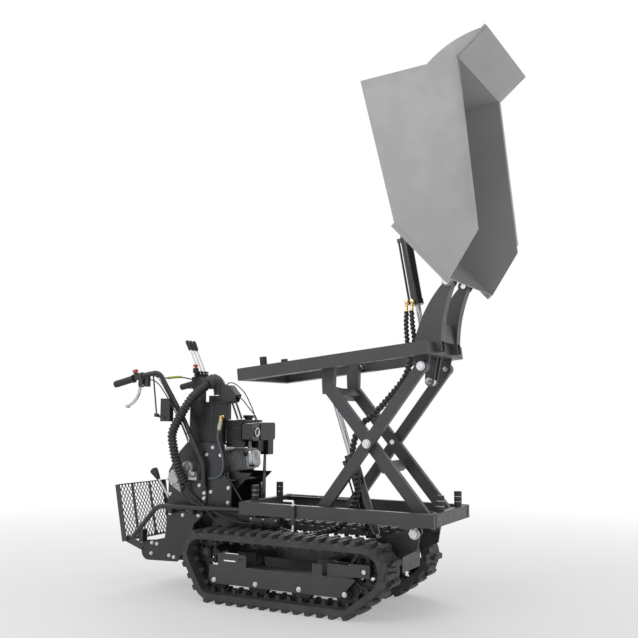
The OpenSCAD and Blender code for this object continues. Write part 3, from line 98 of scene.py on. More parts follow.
class CarrierColours(PropertyGroup):
    """Colours of the machine's finishes."""

    frame_paint: colour("Frame paint", "Powder coat on the frames and arms", (0.050, 0.052, 0.055))
    dark_paint: colour("Dark paint", "Gloss paint on the engine's mount and sheet metal", (0.026, 0.027, 0.029))
    skip_paint: colour("Skip paint", "Paint on the skip", (0.345, 0.348, 0.352))
    black_paint: colour("Black paint", "Gloss black on rams and tanks", (0.011, 0.011, 0.013))
    track: colour("Track rubber", "Rubber of the belts", (0.040, 0.040, 0.040))
    rubber: colour("Rubber", "Rubber of buffers and grips", (0.016, 0.016, 0.017))
    hose: colour("Hose", "Black hoses and guards", (0.020, 0.021, 0.024))
    boot: colour("Boot", "Grey ribbed boot", (0.060, 0.062, 0.066))
    plastic: colour("Plastic", "Black mouldings of the engine", (0.008, 0.008, 0.009))
    cast: colour("Casting", "Bare die castings", (0.20, 0.205, 0.21))
    zinc: colour("Zinc", "Zinc plate on pins and bolts", (0.66, 0.67, 0.69))
    chrome: colour("Chrome", "Hard chrome on rods and levers", (0.50, 0.51, 0.53))
    brass: colour("Brass", "Brass and yellow zinc fittings", (0.72, 0.55, 0.26))
    red: colour("Switch red", "Red push buttons", (0.58, 0.012, 0.012))
    sleeve: colour("Hose sleeve", "Cream sleeve on the return hose", (0.62, 0.58, 0.44))
    fuel_hose: colour("Return hose", "Blue-grey return hose", (0.085, 0.095, 0.125))
    marker: colour("Cable marker", "Yellow-green sleeve on a cable", (0.42, 0.46, 0.06))
    floor: colour("Floor", "Floor and backdrop", (0.80, 0.80, 0.80))


def sizes():
    """The scene's sizes."""
    return bpy.context.scene.carrier_sizes


def colours():
    """The scene's colours."""
    return bpy.context.scene.carrier_colours


class Finish:
    """A procedural material built up from noise, bump and a rounded edge."""

    def __init__(self, name, base, rough, metal=0.0, coat=0.0):
        self.mat = bpy.data.materials.new(name)
        self.mat.use_nodes = True
        self.tree = self.mat.node_tree
        self.bsdf = self.tree.nodes["Principled BSDF"]
        self.base = tuple(base) + (1.0,)
        self.bsdf.inputs["Base Color"].default_value = self.base
        self.bsdf.inputs["Roughness"].default_value = rough
        self.bsdf.inputs["Metallic"].default_value = metal
        self.bsdf.inputs["Coat Weight"].default_value = coat
        self.coords = self.node("ShaderNodeTexCoord")
        self.normal = None

    def node(self, kind, **values):
        """A node of that kind with its own values set."""
        n = self.tree.nodes.new(kind)
        for key, value in values.items():
            setattr(n, key, value)
        return n

    def link(self, a, b):
        """Joins two sockets."""
        self.tree.links.new(a, b)

    def noise(self, scale, detail=3.0, rough=0.55, stretch=(1.0, 1.0, 1.0)):
        """A noise texture in the frame's metres, drawn out along some axes."""
        m = self.node("ShaderNodeMapping")
        m.inputs["Scale"].default_value = stretch
        self.link(self.coords.outputs["Object"], m.inputs["Vector"])
        n = self.node("ShaderNodeTexNoise")
        n.inputs["Scale"].default_value = scale
        n.inputs["Detail"].default_value = detail
        n.inputs["Roughness"].default_value = rough
        self.link(m.outputs["Vector"], n.inputs["Vector"])
        return n.outputs["Fac"]

    def ramp(self, source, low, high, start=0.35, end=0.65):
        """A colour ramp between two colours or two greys."""
        r = self.node("ShaderNodeValToRGB")
        for stop, place, value in ((0, start, low), (1, end, high)):
            if not hasattr(value, "__len__"):
                value = (value, value, value)
            r.color_ramp.elements[stop].position = place
            r.color_ramp.elements[stop].color = tuple(value)[:3] + (1.0,)
        self.link(source, r.inputs["Fac"])
        return r.outputs["Color"]

    def mottle(self, scale, depth, **how):
        """Lets the colour wander by a share of itself."""
        low = [c * (1 - depth) for c in self.base[:3]]
        high = [min(1.0, c * (1 + depth)) for c in self.base[:3]]
        self.link(self.ramp(self.noise(scale, **how), low, high), self.bsdf.inputs["Base Color"])
        return self

    def dust(self, scale, tint, amount, start=0.52, end=0.8):
        """A thin veil of another colour in patches."""
        old = self.bsdf.inputs["Base Color"]
        mix = self.node("ShaderNodeMix", data_type="RGBA")
        mix.inputs["A"].default_value = self.base
        if old.is_linked:
            self.link(old.links[0].from_socket, mix.inputs["A"])
        mix.inputs["B"].default_value = tuple(tint) + (1.0,)
        self.link(self.ramp(self.noise(scale, detail=6.0), 0.0, amount, start, end), mix.inputs["Factor"])
        self.link(mix.outputs["Result"], old)
        return self

    def gloss(self, scale, low, high, **how):
        """Lets the roughness wander between two values."""
        self.link(self.ramp(self.noise(scale, **how), low, high), self.bsdf.inputs["Roughness"])
        return self

    def bumps(self, scale, strength, distance=0.0005, **how):
        """Small bumps over the surface."""
        b = self.node("ShaderNodeBump")
        b.inputs["Strength"].default_value = strength
        b.inputs["Distance"].default_value = distance
        self.link(self.noise(scale, **how), b.inputs["Height"])
        if self.normal:
            self.link(self.normal, b.inputs["Normal"])
        self.normal = b.outputs["Normal"]
        self.link(self.normal, self.bsdf.inputs["Normal"])
        return self

    def edges(self, radius):
        """Makes sharp edges catch the light as if they were rounded."""
        e = self.node("ShaderNodeBevel", samples=4)
        e.inputs["Radius"].default_value = radius
        self.normal = e.outputs["Normal"]
        self.link(self.normal, self.bsdf.inputs["Normal"])
        return self

    def edge_wear_and_highlight(self, radius, tint, amount):
        """Lightens the colour along its edges, where the rounded normal leaves the true one: paint worn off the
        edges, and a painted highlight where the edges catch the light.
        """
        e = self.node("ShaderNodeBevel", samples=4)
        e.inputs["Radius"].default_value = radius
        g = self.node("ShaderNodeNewGeometry")
        dot = self.node("ShaderNodeVectorMath", operation="DOT_PRODUCT")
        self.link(e.outputs["Normal"], dot.inputs[0])
        self.link(g.outputs["True Normal"], dot.inputs[1])
        old = self.bsdf.inputs["Base Color"]
        mix = self.node("ShaderNodeMix", data_type="RGBA")
        mix.inputs["A"].default_value = self.base
        if old.is_linked:
            self.link(old.links[0].from_socket, mix.inputs["A"])
        mix.inputs["B"].default_value = tuple(tint) + (1.0,)
        # Paler tint on the edges: edge wear together with a painted highlight
        self.link(self.ramp(dot.outputs["Value"], amount, 0.0, 0.86, 0.985), mix.inputs["Factor"])
        self.link(mix.outputs["Result"], old)
        return self


finishes = {}


def finish_of(slot):
    """The material made for a slot name."""
    return finishes[slot]


def make_finishes():
    """One material for each finish on the machine."""
    c = colours()
    edge = sizes().edge_r
    made = {
        # The last step of each of the three paints gives its edges a paler tint: edge wear together with a
        # painted highlight
        "frame_paint": Finish("frame_powder_coat", c.frame_paint, 0.40).edges(edge).bumps(520, 0.16)
        .mottle(9, 0.10).gloss(30, 0.34, 0.47).edge_wear_and_highlight(0.0016, (0.26, 0.27, 0.28), 0.55),
        "dark_paint": Finish("gloss_dark_paint", c.dark_paint, 0.30).edges(edge).bumps(480, 0.12)
        .mottle(9, 0.12).gloss(30, 0.24, 0.38).edge_wear_and_highlight(0.0014, (0.2, 0.21, 0.22), 0.5),
        "skip_paint": Finish("skip_satin_paint", c.skip_paint, 0.38).edges(edge).bumps(420, 0.07)
        .mottle(3.5, 0.035).gloss(11, 0.32, 0.46).edge_wear_and_highlight(0.0018, (0.72, 0.72, 0.73), 0.6),
        "ram_paint": Finish("gloss_black_paint", c.black_paint, 0.22, coat=0.3).edges(edge).bumps(300, 0.05)
        .gloss(40, 0.16, 0.30),
        "track_rubber": Finish("track_rubber", c.track, 0.62).edges(0.002).bumps(260, 0.30, 0.0008)
        .mottle(26, 0.22).dust(7, (0.16, 0.155, 0.145), 0.28).gloss(60, 0.50, 0.74),
        "cap_rubber": Finish("buffer_rubber", c.rubber, 0.55).edges(0.001).bumps(500, 0.2)
        .gloss(70, 0.44, 0.64),
        "hose_rubber": Finish("hose_rubber", c.hose, 0.42).bumps(700, 0.16).mottle(60, 0.2)
        .gloss(90, 0.34, 0.5),
        "boot_rubber": Finish("boot_rubber", c.boot, 0.5).bumps(500, 0.2).mottle(40, 0.2)
        .gloss(60, 0.4, 0.6),
        "cast": Finish("painted_casting", c.rubber, 0.46).edges(edge).bumps(190, 0.35, 0.0009)
        .mottle(30, 0.3).gloss(50, 0.36, 0.58),
        "engine_metal": Finish("bare_casting", c.cast, 0.42, metal=0.85).edges(0.001)
        .bumps(330, 0.35, 0.0006).mottle(22, 0.16).gloss(60, 0.34, 0.55),
        "light_casting": Finish("light_casting", (0.40, 0.41, 0.42), 0.46, metal=0.7).edges(0.001)
        .bumps(330, 0.3, 0.0006).mottle(22, 0.2).gloss(60, 0.36, 0.56),
        "zinc": Finish("bright_zinc", c.zinc, 0.26, metal=1.0).edges(0.0008).bumps(380, 0.12)
        .mottle(60, 0.12).gloss(90, 0.18, 0.38),
        "chrome": Finish("hard_chrome", c.chrome, 0.2, metal=1.0).mottle(5, 0.05).gloss(25, 0.16, 0.24),
        "black_plastic": Finish("black_moulding", c.plastic, 0.38).edges(0.0012).bumps(620, 0.22)
        .mottle(25, 0.12).gloss(45, 0.30, 0.46),
        "polished": Finish("polished_cover", (0.36, 0.37, 0.38), 0.2, metal=1.0).edges(0.001)
        .mottle(18, 0.5).gloss(30, 0.12, 0.26),
        "pale_plastic": Finish("pale_sleeve", c.sleeve, 0.4).bumps(400, 0.1).mottle(40, 0.06)
        .gloss(60, 0.32, 0.48),
        "blue_hose": Finish("blue_grey_hose", c.fuel_hose, 0.38).bumps(600, 0.12).mottle(50, 0.1)
        .gloss(70, 0.3, 0.46),
        "marker": Finish("marker_sleeve", c.marker, 0.42).bumps(500, 0.1).mottle(60, 0.1)
        .gloss(60, 0.34, 0.5),
        "weld": Finish("painted_weld", c.frame_paint, 0.36).bumps(240, 0.5, 0.0008).mottle(60, 0.15)
        .gloss(50, 0.28, 0.44),
        "brass": Finish("yellow_fitting", c.brass, 0.25, metal=1.0).bumps(400, 0.1).mottle(60, 0.15)
        .gloss(80, 0.18, 0.34),
        "switch_red": Finish("red_moulding", c.red, 0.28, coat=0.3).edges(0.0008).bumps(500, 0.05)
        .mottle(50, 0.1).gloss(60, 0.22, 0.34),
    }
    finishes.update({name: f.mat for name, f in made.items()})


def dress(node, material):
    """Gives a CAD node's own mesh a material."""
    mesh = NODES[node].data
    mesh.materials.clear()
    mesh.materials.append(material)


def new_piece(name, verts, faces, material, body):
    """A mesh piece that rides on a body."""
    mesh = bpy.data.meshes.new(name)
    mesh.from_pydata([tuple(v) for v in verts], [], faces)
    mesh.update()
    obj = bpy.data.objects.new(name, mesh)
    bpy.context.collection.objects.link(obj)
    mesh.materials.append(material)
    mesh.shade_smooth()
    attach(obj, body)
    return obj


def smooth_line(points, spacing):
    """Evenly spaced points on a smooth curve through the given ones."""
    pts = [Vector(p) for p in points]
    dense = []
    for i in range(len(pts) - 1):
        a, b = pts[max(i - 1, 0)], pts[i]
        c, d = pts[i + 1], pts[min(i + 2, len(pts) - 1)]
        for k in range(24):
            t = k / 24
            dense.append(0.5 * (2 * b + (c - a) * t + (2 * a - 5 * b + 4 * c - d) * t * t
                                + (3 * b - a - 3 * c + d) * t ** 3))
    dense.append(pts[-1])
    run = [0.0]
    for i in range(1, len(dense)):
        run.append(run[-1] + (dense[i] - dense[i - 1]).length)
    count = max(2, round(run[-1] / spacing))
    out, j = [], 0
    for k in range(count + 1):
        s = run[-1] * k / count
        while j < len(run) - 2 and run[j + 1] < s:
            j += 1
        span = run[j + 1] - run[j]
        out.append(dense[j].lerp(dense[j + 1], (s - run[j]) / span if span > 0 else 0))
    return out


def tube_mesh(line, radius, sides):
    """Vertices and faces of a tube along a line; radius is called with (run so far, angle)."""
    verts, faces = [], []
    side = None
    run = 0.0
    for i, p in enumerate(line):
        t = (line[min(i + 1, len(line) - 1)] - line[max(i - 1, 0)]).normalized()
        if side is None:
            side = t.cross(Vector((0.3, 1, 0.2))).normalized()
        side = (side - t * side.dot(t)).normalized()
        up = t.cross(side)
        if i:
            run += (p - line[i - 1]).length
        for k in range(sides):
            a = 2 * math.pi * k / sides
            verts.append(p + radius(run, a) * (math.cos(a) * side + math.sin(a) * up))
    for i in range(len(line) - 1):
        for k in range(sides):
            a, b = i * sides + k, i * sides + (k + 1) % sides
            faces.append((a, b, b + sides, a + sides))
    faces.append(tuple(reversed(range(sides))))
    faces.append(tuple(range(len(verts) - sides, len(verts))))
    return verts, faces


def plain_tube(name, points, diameter, material, body, spacing=0.006, sides=14):
    """A smooth hose or cable along chosen points."""
    line = smooth_line(points, spacing)
    verts, faces = tube_mesh(line, lambda s, a: diameter / 2, sides)
    return new_piece(name, verts, faces, material, body)


def ribbed_tube(name, points, diameter, depth, pitch, material, body):
    """A corrugated hose: round ribs, one every pitch."""
    line = smooth_line(points, pitch / 8)

    def radius(s, a):
        wave = 0.5 + 0.5 * math.cos(2 * math.pi * s / pitch)
        return diameter / 2 - depth * (1 - wave ** 0.6)

    verts, faces = tube_mesh(line, radius, sizes().tube_sides)
    return new_piece(name, verts, faces, material, body)


def spiral_tube(name, points, core, outer, pitch, material, body):
    """A hose wrapped in a flat spiral guard: a raised band that winds round a core."""
    line = smooth_line(points, pitch / 10)

    def radius(s, a):
        phase = (s / pitch - a / (2 * math.pi)) % 1.0
        band = min(1.0, max(0.0, 5.0 * (0.40 - abs(phase - 0.5))))
        return core / 2 + (outer - core) / 2 * band

    verts, faces = tube_mesh(line, radius, sizes().tube_sides)
    return new_piece(name, verts, faces, material, body)


class Lumps:
    """Turned and drawn lumps, gathered into one mesh piece; all places are in the machine's millimetres."""

    def __init__(self):
        self.verts, self.faces = [], []

    def add(self, verts, faces):
        """Adds one lump in the frame's metres."""
        base = len(self.verts)
        self.verts += verts
        self.faces += [tuple(base + i for i in face) for face in faces]

    def turn(self, foot, axis, profile, sides=20):
        """A turned lump: profile is (run along the axis, radius) pairs from its foot."""
        axis = Vector(axis).normalized()
        side = axis.cross(Vector((0.3, 0.2, 1.0) if abs(axis.z) < 0.9 else (1, 0, 0))).normalized()
        up = axis.cross(side)
        verts, faces = [], []
        for run, radius in profile:
            for k in range(sides):
                a = 2 * math.pi * k / sides
                out = math.cos(a) * side + math.sin(a) * up
                verts.append(at(*(Vector(foot) + axis * run + radius * out)))
        for i in range(len(profile) - 1):
            for k in range(sides):
                a, b = i * sides + k, i * sides + (k + 1) % sides
                faces.append((a, b, b + sides, a + sides))
        faces.append(tuple(reversed(range(sides))))
        faces.append(tuple(range(len(verts) - sides, len(verts))))
        self.add(verts, faces)

    def bolt(self, foot, axis, d):
        """A hexagon bolt head on its washer, with chamfered corners."""
        self.turn(foot, axis, [(0.02, 1.05 * d), (0.16 * d, 1.05 * d), (0.2 * d, 1.0 * d)], 22)
        self.turn(foot, axis, [(0.2 * d, 0.86 * d), (0.76 * d, 0.86 * d), (0.86 * d, 0.7 * d)], 6)

    def ring(self, foot, axis, radius, wire, sides=36):
        """A round ring of wire."""
        axis = Vector(axis).normalized()
        side = axis.cross(Vector((0.3, 0.2, 1.0) if abs(axis.z) < 0.9 else (1, 0, 0))).normalized()
        up = axis.cross(side)
        verts, faces = [], []
        for k in range(sides):
            a = 2 * math.pi * k / sides
            out = math.cos(a) * side + math.sin(a) * up
            for m in range(8):
                b = 2 * math.pi * m / 8
                lift = axis * wire * math.sin(b)
                verts.append(at(*(Vector(foot) + out * (radius + wire * math.cos(b)) + lift)))
        for k in range(sides):
            for m in range(8):
                faces.append((k * 8 + m, k * 8 + (m + 1) % 8, (k + 1) % sides * 8 + (m + 1) % 8,
                              (k + 1) % sides * 8 + m))
        self.add(verts, faces)

    def tube(self, points, diameter, sides=12, spacing=0.006):
        """A smooth tube along machine points."""
        line = smooth_line([at(*p) for p in points], spacing)
        self.add(*tube_mesh(line, lambda s, a: diameter * MM / 2, sides))

    def bead(self, a, b, width):
        """A weld bead: a low rippled ridge between two points."""
        a, b = at(*a), at(*b)
        ripple = 0.0028
        count = max(4, round((b - a).length / ripple))
        line = [a.lerp(b, k / count) for k in range(count + 1)]

        def radius(s, t):
            return width * MM / 2 * (0.92 + 0.1 * math.sin(s / ripple * 2.1))

        self.add(*tube_mesh(line, radius, 8))

    def piece(self, name, finish, body):
        """One object of all the lumps, its corners kept sharp."""
        obj = new_piece(name, self.verts, self.faces, finish_of(finish), body)
        obj.data.set_sharp_from_angle(angle=math.radians(38))
        return obj


# Routes of the hoses, as points in the machine's millimetres
LOOM_ROUTE = [(-539, -120, 1052), (-559, -170, 1012), (-575, -222, 968), (-629, -250, 866),
              (-657, -256, 800), (-656, -250, 738), (-646, -225, 637), (-633, -184, 546)]
BOOT_ROUTE = [(-500, -60, 1000), (-505, -66, 1045), (-520, -88, 1072), (-538, -117, 1056)]
THIN_ROUTES = [
    [(-624, -168, 536), (-610, -167, 500), (-565, -163, 462), (-505, -160, 425), (-360, -150, 368),
     (-251.5, -134, 358)],
    [(-644, -192, 536), (-636, -190, 495), (-600, -184, 458), (-512, -178, 424), (-440, -170, 366),
     (-340, -160, 322), (-251.5, -140, 318)]]
RAM_ROUTE_LOW = [(-93.6, -130, 340), (0, -124, 322), (110, -100, 330), (215, -76, 372), (262, -64, 430)]
RAM_ROUTE_RISE = [(262, -64, 430), (296, -62, 520), (296, -60, 620), (270, -58, 720), (300, -50, 840),
                  (374, -44, 905), (452, -50, 980), (540, -54, 1082), (574, -60, 1180)]
RAM_ROUTES_TOP = [
    [(566, -58, 1180), (556, -62, 1250), (548, -56, 1330), (546, -45, 1393)],
    [(586, -60, 1180), (592, -64, 1250), (584, -66, 1330), (578, -62, 1395)]]
# Diameter inside the spiral guard, in metres: of the long run and of the two short hoses on top
GUARD_CORE, TOP_CORE = 0.023, 0.016


class CARRIER_OT_stage(Operator):
    """Sets up the camera, the floor, the backdrop, the lamps and the world"""

    bl_idname = "carrier.stage"
    bl_label = "Stage"

    def execute(self, context):
        scene = context.scene
        scene.view_settings.view_transform = "Standard"
        data = bpy.data.cameras.new("camera")
        camera = bpy.data.objects.new("camera", data)
        scene.collection.objects.link(camera)
        yaw, pitch, roll = 0.48408, -0.10256, 0.00884
        forward = Vector((-math.sin(yaw) * math.cos(pitch), math.cos(yaw) * math.cos(pitch),
                          -math.sin(pitch)))
        right = Vector((math.cos(yaw), math.sin(yaw), 0.0))
        up = right.cross(forward)
        right, up = (math.cos(roll) * right + math.sin(roll) * up,
                     -math.sin(roll) * right + math.cos(roll) * up)
        camera.matrix_world = Matrix.Translation(at(2103.11, -3904.05, 928.87)) @ Matrix(
            (right, up, -forward)).transposed().to_4x4()
        focal_px = 874.04
        data.sensor_width = 36.0
        data.lens = data.sensor_width * focal_px / IMAGE_PX
        data.clip_end = 60.0
        scene.camera = camera
        self.floor()
        self.lamps(scene)
        self.world(scene)
        return {"FINISHED"}

    def floor(self):
        """A pale floor that shows white to the camera and keeps the shadow."""
        mesh = bpy.data.meshes.new("floor")
        reach = 14.0
        mesh.from_pydata([(-reach, -reach, 0), (reach, -reach, 0), (reach, reach, 0), (-reach, reach, 0)],
                         [], [(0, 1, 2, 3)])
        obj = bpy.data.objects.new("floor", mesh)
        bpy.context.scene.collection.objects.link(obj)
        f = Finish("floor_paint", colours().floor, 0.75)
        f.mottle(0.8, 0.015)
        run = f.node("ShaderNodeVectorMath", operation="LENGTH")
        f.link(f.coords.outputs["Object"], run.inputs[0])
        fade = f.node("ShaderNodeMapRange")
        fade.inputs["From Max"].default_value = 4.5
        fade.inputs["To Min"].default_value = 0.3
        f.link(run.outputs["Value"], fade.inputs["Value"])
        glow = f.node("ShaderNodeEmission")
        mix = f.node("ShaderNodeMixShader")
        f.link(fade.outputs["Result"], mix.inputs["Fac"])
        f.link(f.bsdf.outputs["BSDF"], mix.inputs[1])
        f.link(glow.outputs["Emission"], mix.inputs[2])
        f.link(mix.outputs["Shader"], f.tree.nodes["Material Output"].inputs["Surface"])
        mesh.materials.append(f.mat)

    def lamps(self, scene):
        """Soft boxes: a large key from the camera's left, a fill from the right and one overhead."""
        for name, place, aim, size, watts in (
                ("key", (-1.2, -4.6, 4.2), (0.1, 0, 0.9), 3.2, 104),
                ("fill", (4.4, -3.0, 2.4), (0.2, 0, 1.2), 3.2, 20),
                ("top", (0.4, 0.6, 6.0), (0.2, 0, 1.0), 4.0, 52),
                ("rim", (-2.5, 4.2, 3.4), (0.1, 0, 1.2), 2.6, 66)):
            light = bpy.data.lights.new(name, "AREA")
            light.size = size
            light.energy = watts
            lamp = bpy.data.objects.new(name, light)
            lamp.location = place
            look = Vector(aim) - Vector(place)
            lamp.rotation_euler = look.to_track_quat("-Z", "Y").to_euler()
            scene.collection.objects.link(lamp)

    def world(self, scene):
        """An even pale world, seen white by the camera and in reflections."""
        world = bpy.data.worlds.new("studio")
        scene.world = world
        world.use_nodes = True
        tree = world.node_tree
        back = tree.nodes["Background"]
        back.inputs["Color"].default_value = (1.0, 1.0, 1.0, 1.0)
        path = tree.nodes.new("ShaderNodeLightPath")
        seen = self.larger(tree, path.outputs["Is Camera Ray"], path.outputs["Is Transmission Ray"])
        seen = self.larger(tree, seen.outputs["Value"], path.outputs["Is Glossy Ray"])
        level = tree.nodes.new("ShaderNodeMapRange")
        level.inputs["To Min"].default_value = 0.24
        level.inputs["To Max"].default_value = 1.0
        tree.links.new(seen.outputs["Value"], level.inputs["Value"])
        tree.links.new(level.outputs["Result"], back.inputs["Strength"])

    def larger(self, tree, a, b):
        """The larger of two values."""
        node = tree.nodes.new("ShaderNodeMath")
        node.operation = "MAXIMUM"
        tree.links.new(a, node.inputs[0])
        tree.links.new(b, node.inputs[1])
        return node


# CAD nodes whose finish differs from their slot's
OTHER_FINISH = {"engine_mount": "dark_paint", "lever_block": "dark_paint", "handlebar": "dark_paint",
                "chassis": "dark_paint", "gearbox": "light_casting", "near_brake_lever": "chrome",
                "far_brake_lever": "chrome"}


class CARRIER_OT_finishes(Operator):
    """Makes the finishes and paints every CAD node with the one of its slot, or with the one that OTHER_FINISH
    gives it
    """

    bl_idname = "carrier.finishes"
    bl_label = "Finishes"

    def execute(self, context):
        make_finishes()
        for part in frame["record"]["subparts"]:
            dress(part["node"], finish_of(OTHER_FINISH.get(part["node"], part["material_slot"])))
        return {"FINISHED"}


class CARRIER_OT_hoses(Operator):
    """Lays the ram hoses in their spiral guard, in three stretches: the low run and the rise on the base, the
    two short hoses on top on the upper frame
    """

    bl_idname = "carrier.hoses"
    bl_label = "Ram hoses"

    def execute(self, context):
        s = sizes()
        mat = finish_of("hose_rubber")
        low = spiral_tube("ram_hose_low", [at(*p) for p in RAM_ROUTE_LOW], GUARD_CORE, s.guard_d,
                          s.guard_pitch, mat, "base")
        rise = spiral_tube("ram_hose_rise", [at(*p) for p in RAM_ROUTE_RISE], GUARD_CORE, s.guard_d,
                           s.guard_pitch, mat, "base")
        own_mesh(rise)
        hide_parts("ram_hoses")
        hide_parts("ram_hoses")
        for i, route in enumerate(RAM_ROUTES_TOP):
            top = spiral_tube(f"ram_hose_top_{i + 1}", [at(*p) for p in route], TOP_CORE, 0.025, 0.02, mat,
                              "upper_frame")
            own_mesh(top)
            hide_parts("ram_hoses")
        return {"FINISHED"}


class CARRIER_OT_loom(Operator):
    """Lays the ribbed control loom, its grey boot and the two thin hoses below it"""

    bl_idname = "carrier.loom"
    bl_label = "Control loom"

    def execute(self, context):
        s = sizes()
        loom = spiral_tube("control_loom_hose", [at(*p) for p in LOOM_ROUTE], s.loom_d - 0.011, s.loom_d,
                           s.loom_pitch, finish_of("hose_rubber"), "base")
        boot = ribbed_tube("lever_boot", [at(*p) for p in BOOT_ROUTE], 0.072, 0.004, 0.0085,
                           finish_of("boot_rubber"), "base")
        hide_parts("control_loom")
        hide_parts("control_loom")
        for i, route in enumerate(THIN_ROUTES):
            hose = plain_tube(f"thin_hose_{i + 1}", [at(*p) for p in route], s.hose_d,
                              finish_of("hose_rubber"), "base")
            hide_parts("thin_hoses")
        return {"FINISHED"}


# Plain tubes as (name, diameter in mm, finish, route)
CABLES = [
    ("throttle_cable", 5.5, "hose_rubber", [
        (-462, -62, 1049), (-440, -62, 1061), (-403, -60, 1052), (-352, -58, 1010), (-322, -50, 955),
        (-306, -34, 902), (-302, -22, 858)]),
    ("choke_cable", 5.5, "hose_rubber", [
        (-398, -92, 972), (-376, -92, 989), (-346, -88, 975), (-318, -72, 935), (-300, -34, 892),
        (-298, -8, 858)]),
    ("engine_stop_cable", 5, "hose_rubber", [
        (-398, -112, 612), (-394, -135, 610), (-378, -162, 596), (-340, -186, 560), (-290, -214, 520),
        (-246, -231, 478)]),
    ("spark_lead", 7, "hose_rubber", [
        (-302, -131, 709), (-308, -138, 719), (-330, -140, 726), (-362, -132, 722), (-396, -118, 700)]),
    ("return_hose", 13, "blue_hose", [
        (-438, -158, 818), (-444, -160, 779), (-430, -161, 742), (-415, -162, 700), (-405, -162, 650),
        (-412, -160, 604), (-440, -157, 580), (-478, -155, 571), (-500, -153, 570)]),
]
# The near handle's cables as (name, diameter in mm, route), laid again in mirror image on the far side
SIDE_CABLES = [
    ("drive_cable", 6, [(-822, -283, 1060), (-788, -276, 1072), (-750, -264, 1052), (-706, -250, 990),
                        (-662, -228, 904), (-618, -212, 812), (-576, -200, 706), (-552, -194, 630),
                        (-562, -188, 584), (-592, -180, 580), (-612, -176, 600)]),
    ("stop_wire", 4, [(-862, -296, 1072), (-836, -300, 1076), (-806, -304, 1084), (-772, -292, 1092),
                      (-742, -276, 1080), (-706, -254, 1012), (-664, -232, 926), (-624, -214, 836),
                      (-580, -202, 740), (-540, -192, 650), (-512, -176, 560), (-496, -160, 470)]),
]


class CARRIER_OT_ram_fittings(Operator):
    """Screws the crimped hose fittings on to the tipping ram's two ports"""

    bl_idname = "carrier.ram_fittings"
    bl_label = "Ram fittings"

    def execute(self, context):
        lumps = Lumps()
        for x, y, z, lean in ((544.8, -29, 1440.7, 0.02), (580.1, -46, 1442.0, -0.02)):
            lumps.turn((x, y + 1, z), NEAR, [(0, 8), (1, 9.5), (9, 9.5), (10, 8)], 6)
            lumps.turn((x, y - 9, z), NEAR, [(0, 7), (1, 9.5), (14, 9.5), (16, 6)])
            down = (lean, 0, -1)
            lumps.turn((x, y - 16, z - 4), down, [
                (0, 6), (10, 6), (11, 9), (17, 9), (18, 6.6), (20, 7.6), (24, 7.6), (25, 6.8), (28, 7.8),
                (32, 7.8), (33, 7.0), (36, 8), (44, 8), (45, 6.5)], 22)
        lumps.piece("tip_ram_fittings", "brass", "tip_ram_barrel")
        return {"FINISHED"}


# Circles of bolts on the crankcase and the two gear covers: count, first angle, middle, radius, bolt size
BOLT_CIRCLES = [(8, 20, (-500, -140, 655), 57, 5), (6, 0, (-700, -168, 566), 37, 5.5),
                (4, 45, (-622, -172, 622), 26, 5)]
# Middle of the exhaust outlet's foot
OUTLET = (-270, -68, 808)
# Head of the rear strap beside the tank, the way down to its foot, and the step to the strap before it
STRAP_TOP = (-414, -103.4, 996)
STRAP_RUN = (52, 0, -121.5)
STRAP_STEP = 24
# Foot and lean of the finned cylinder's axis
CYLINDER_FOOT = (-400, -67, 662)
CYLINDER_LEAN = -8


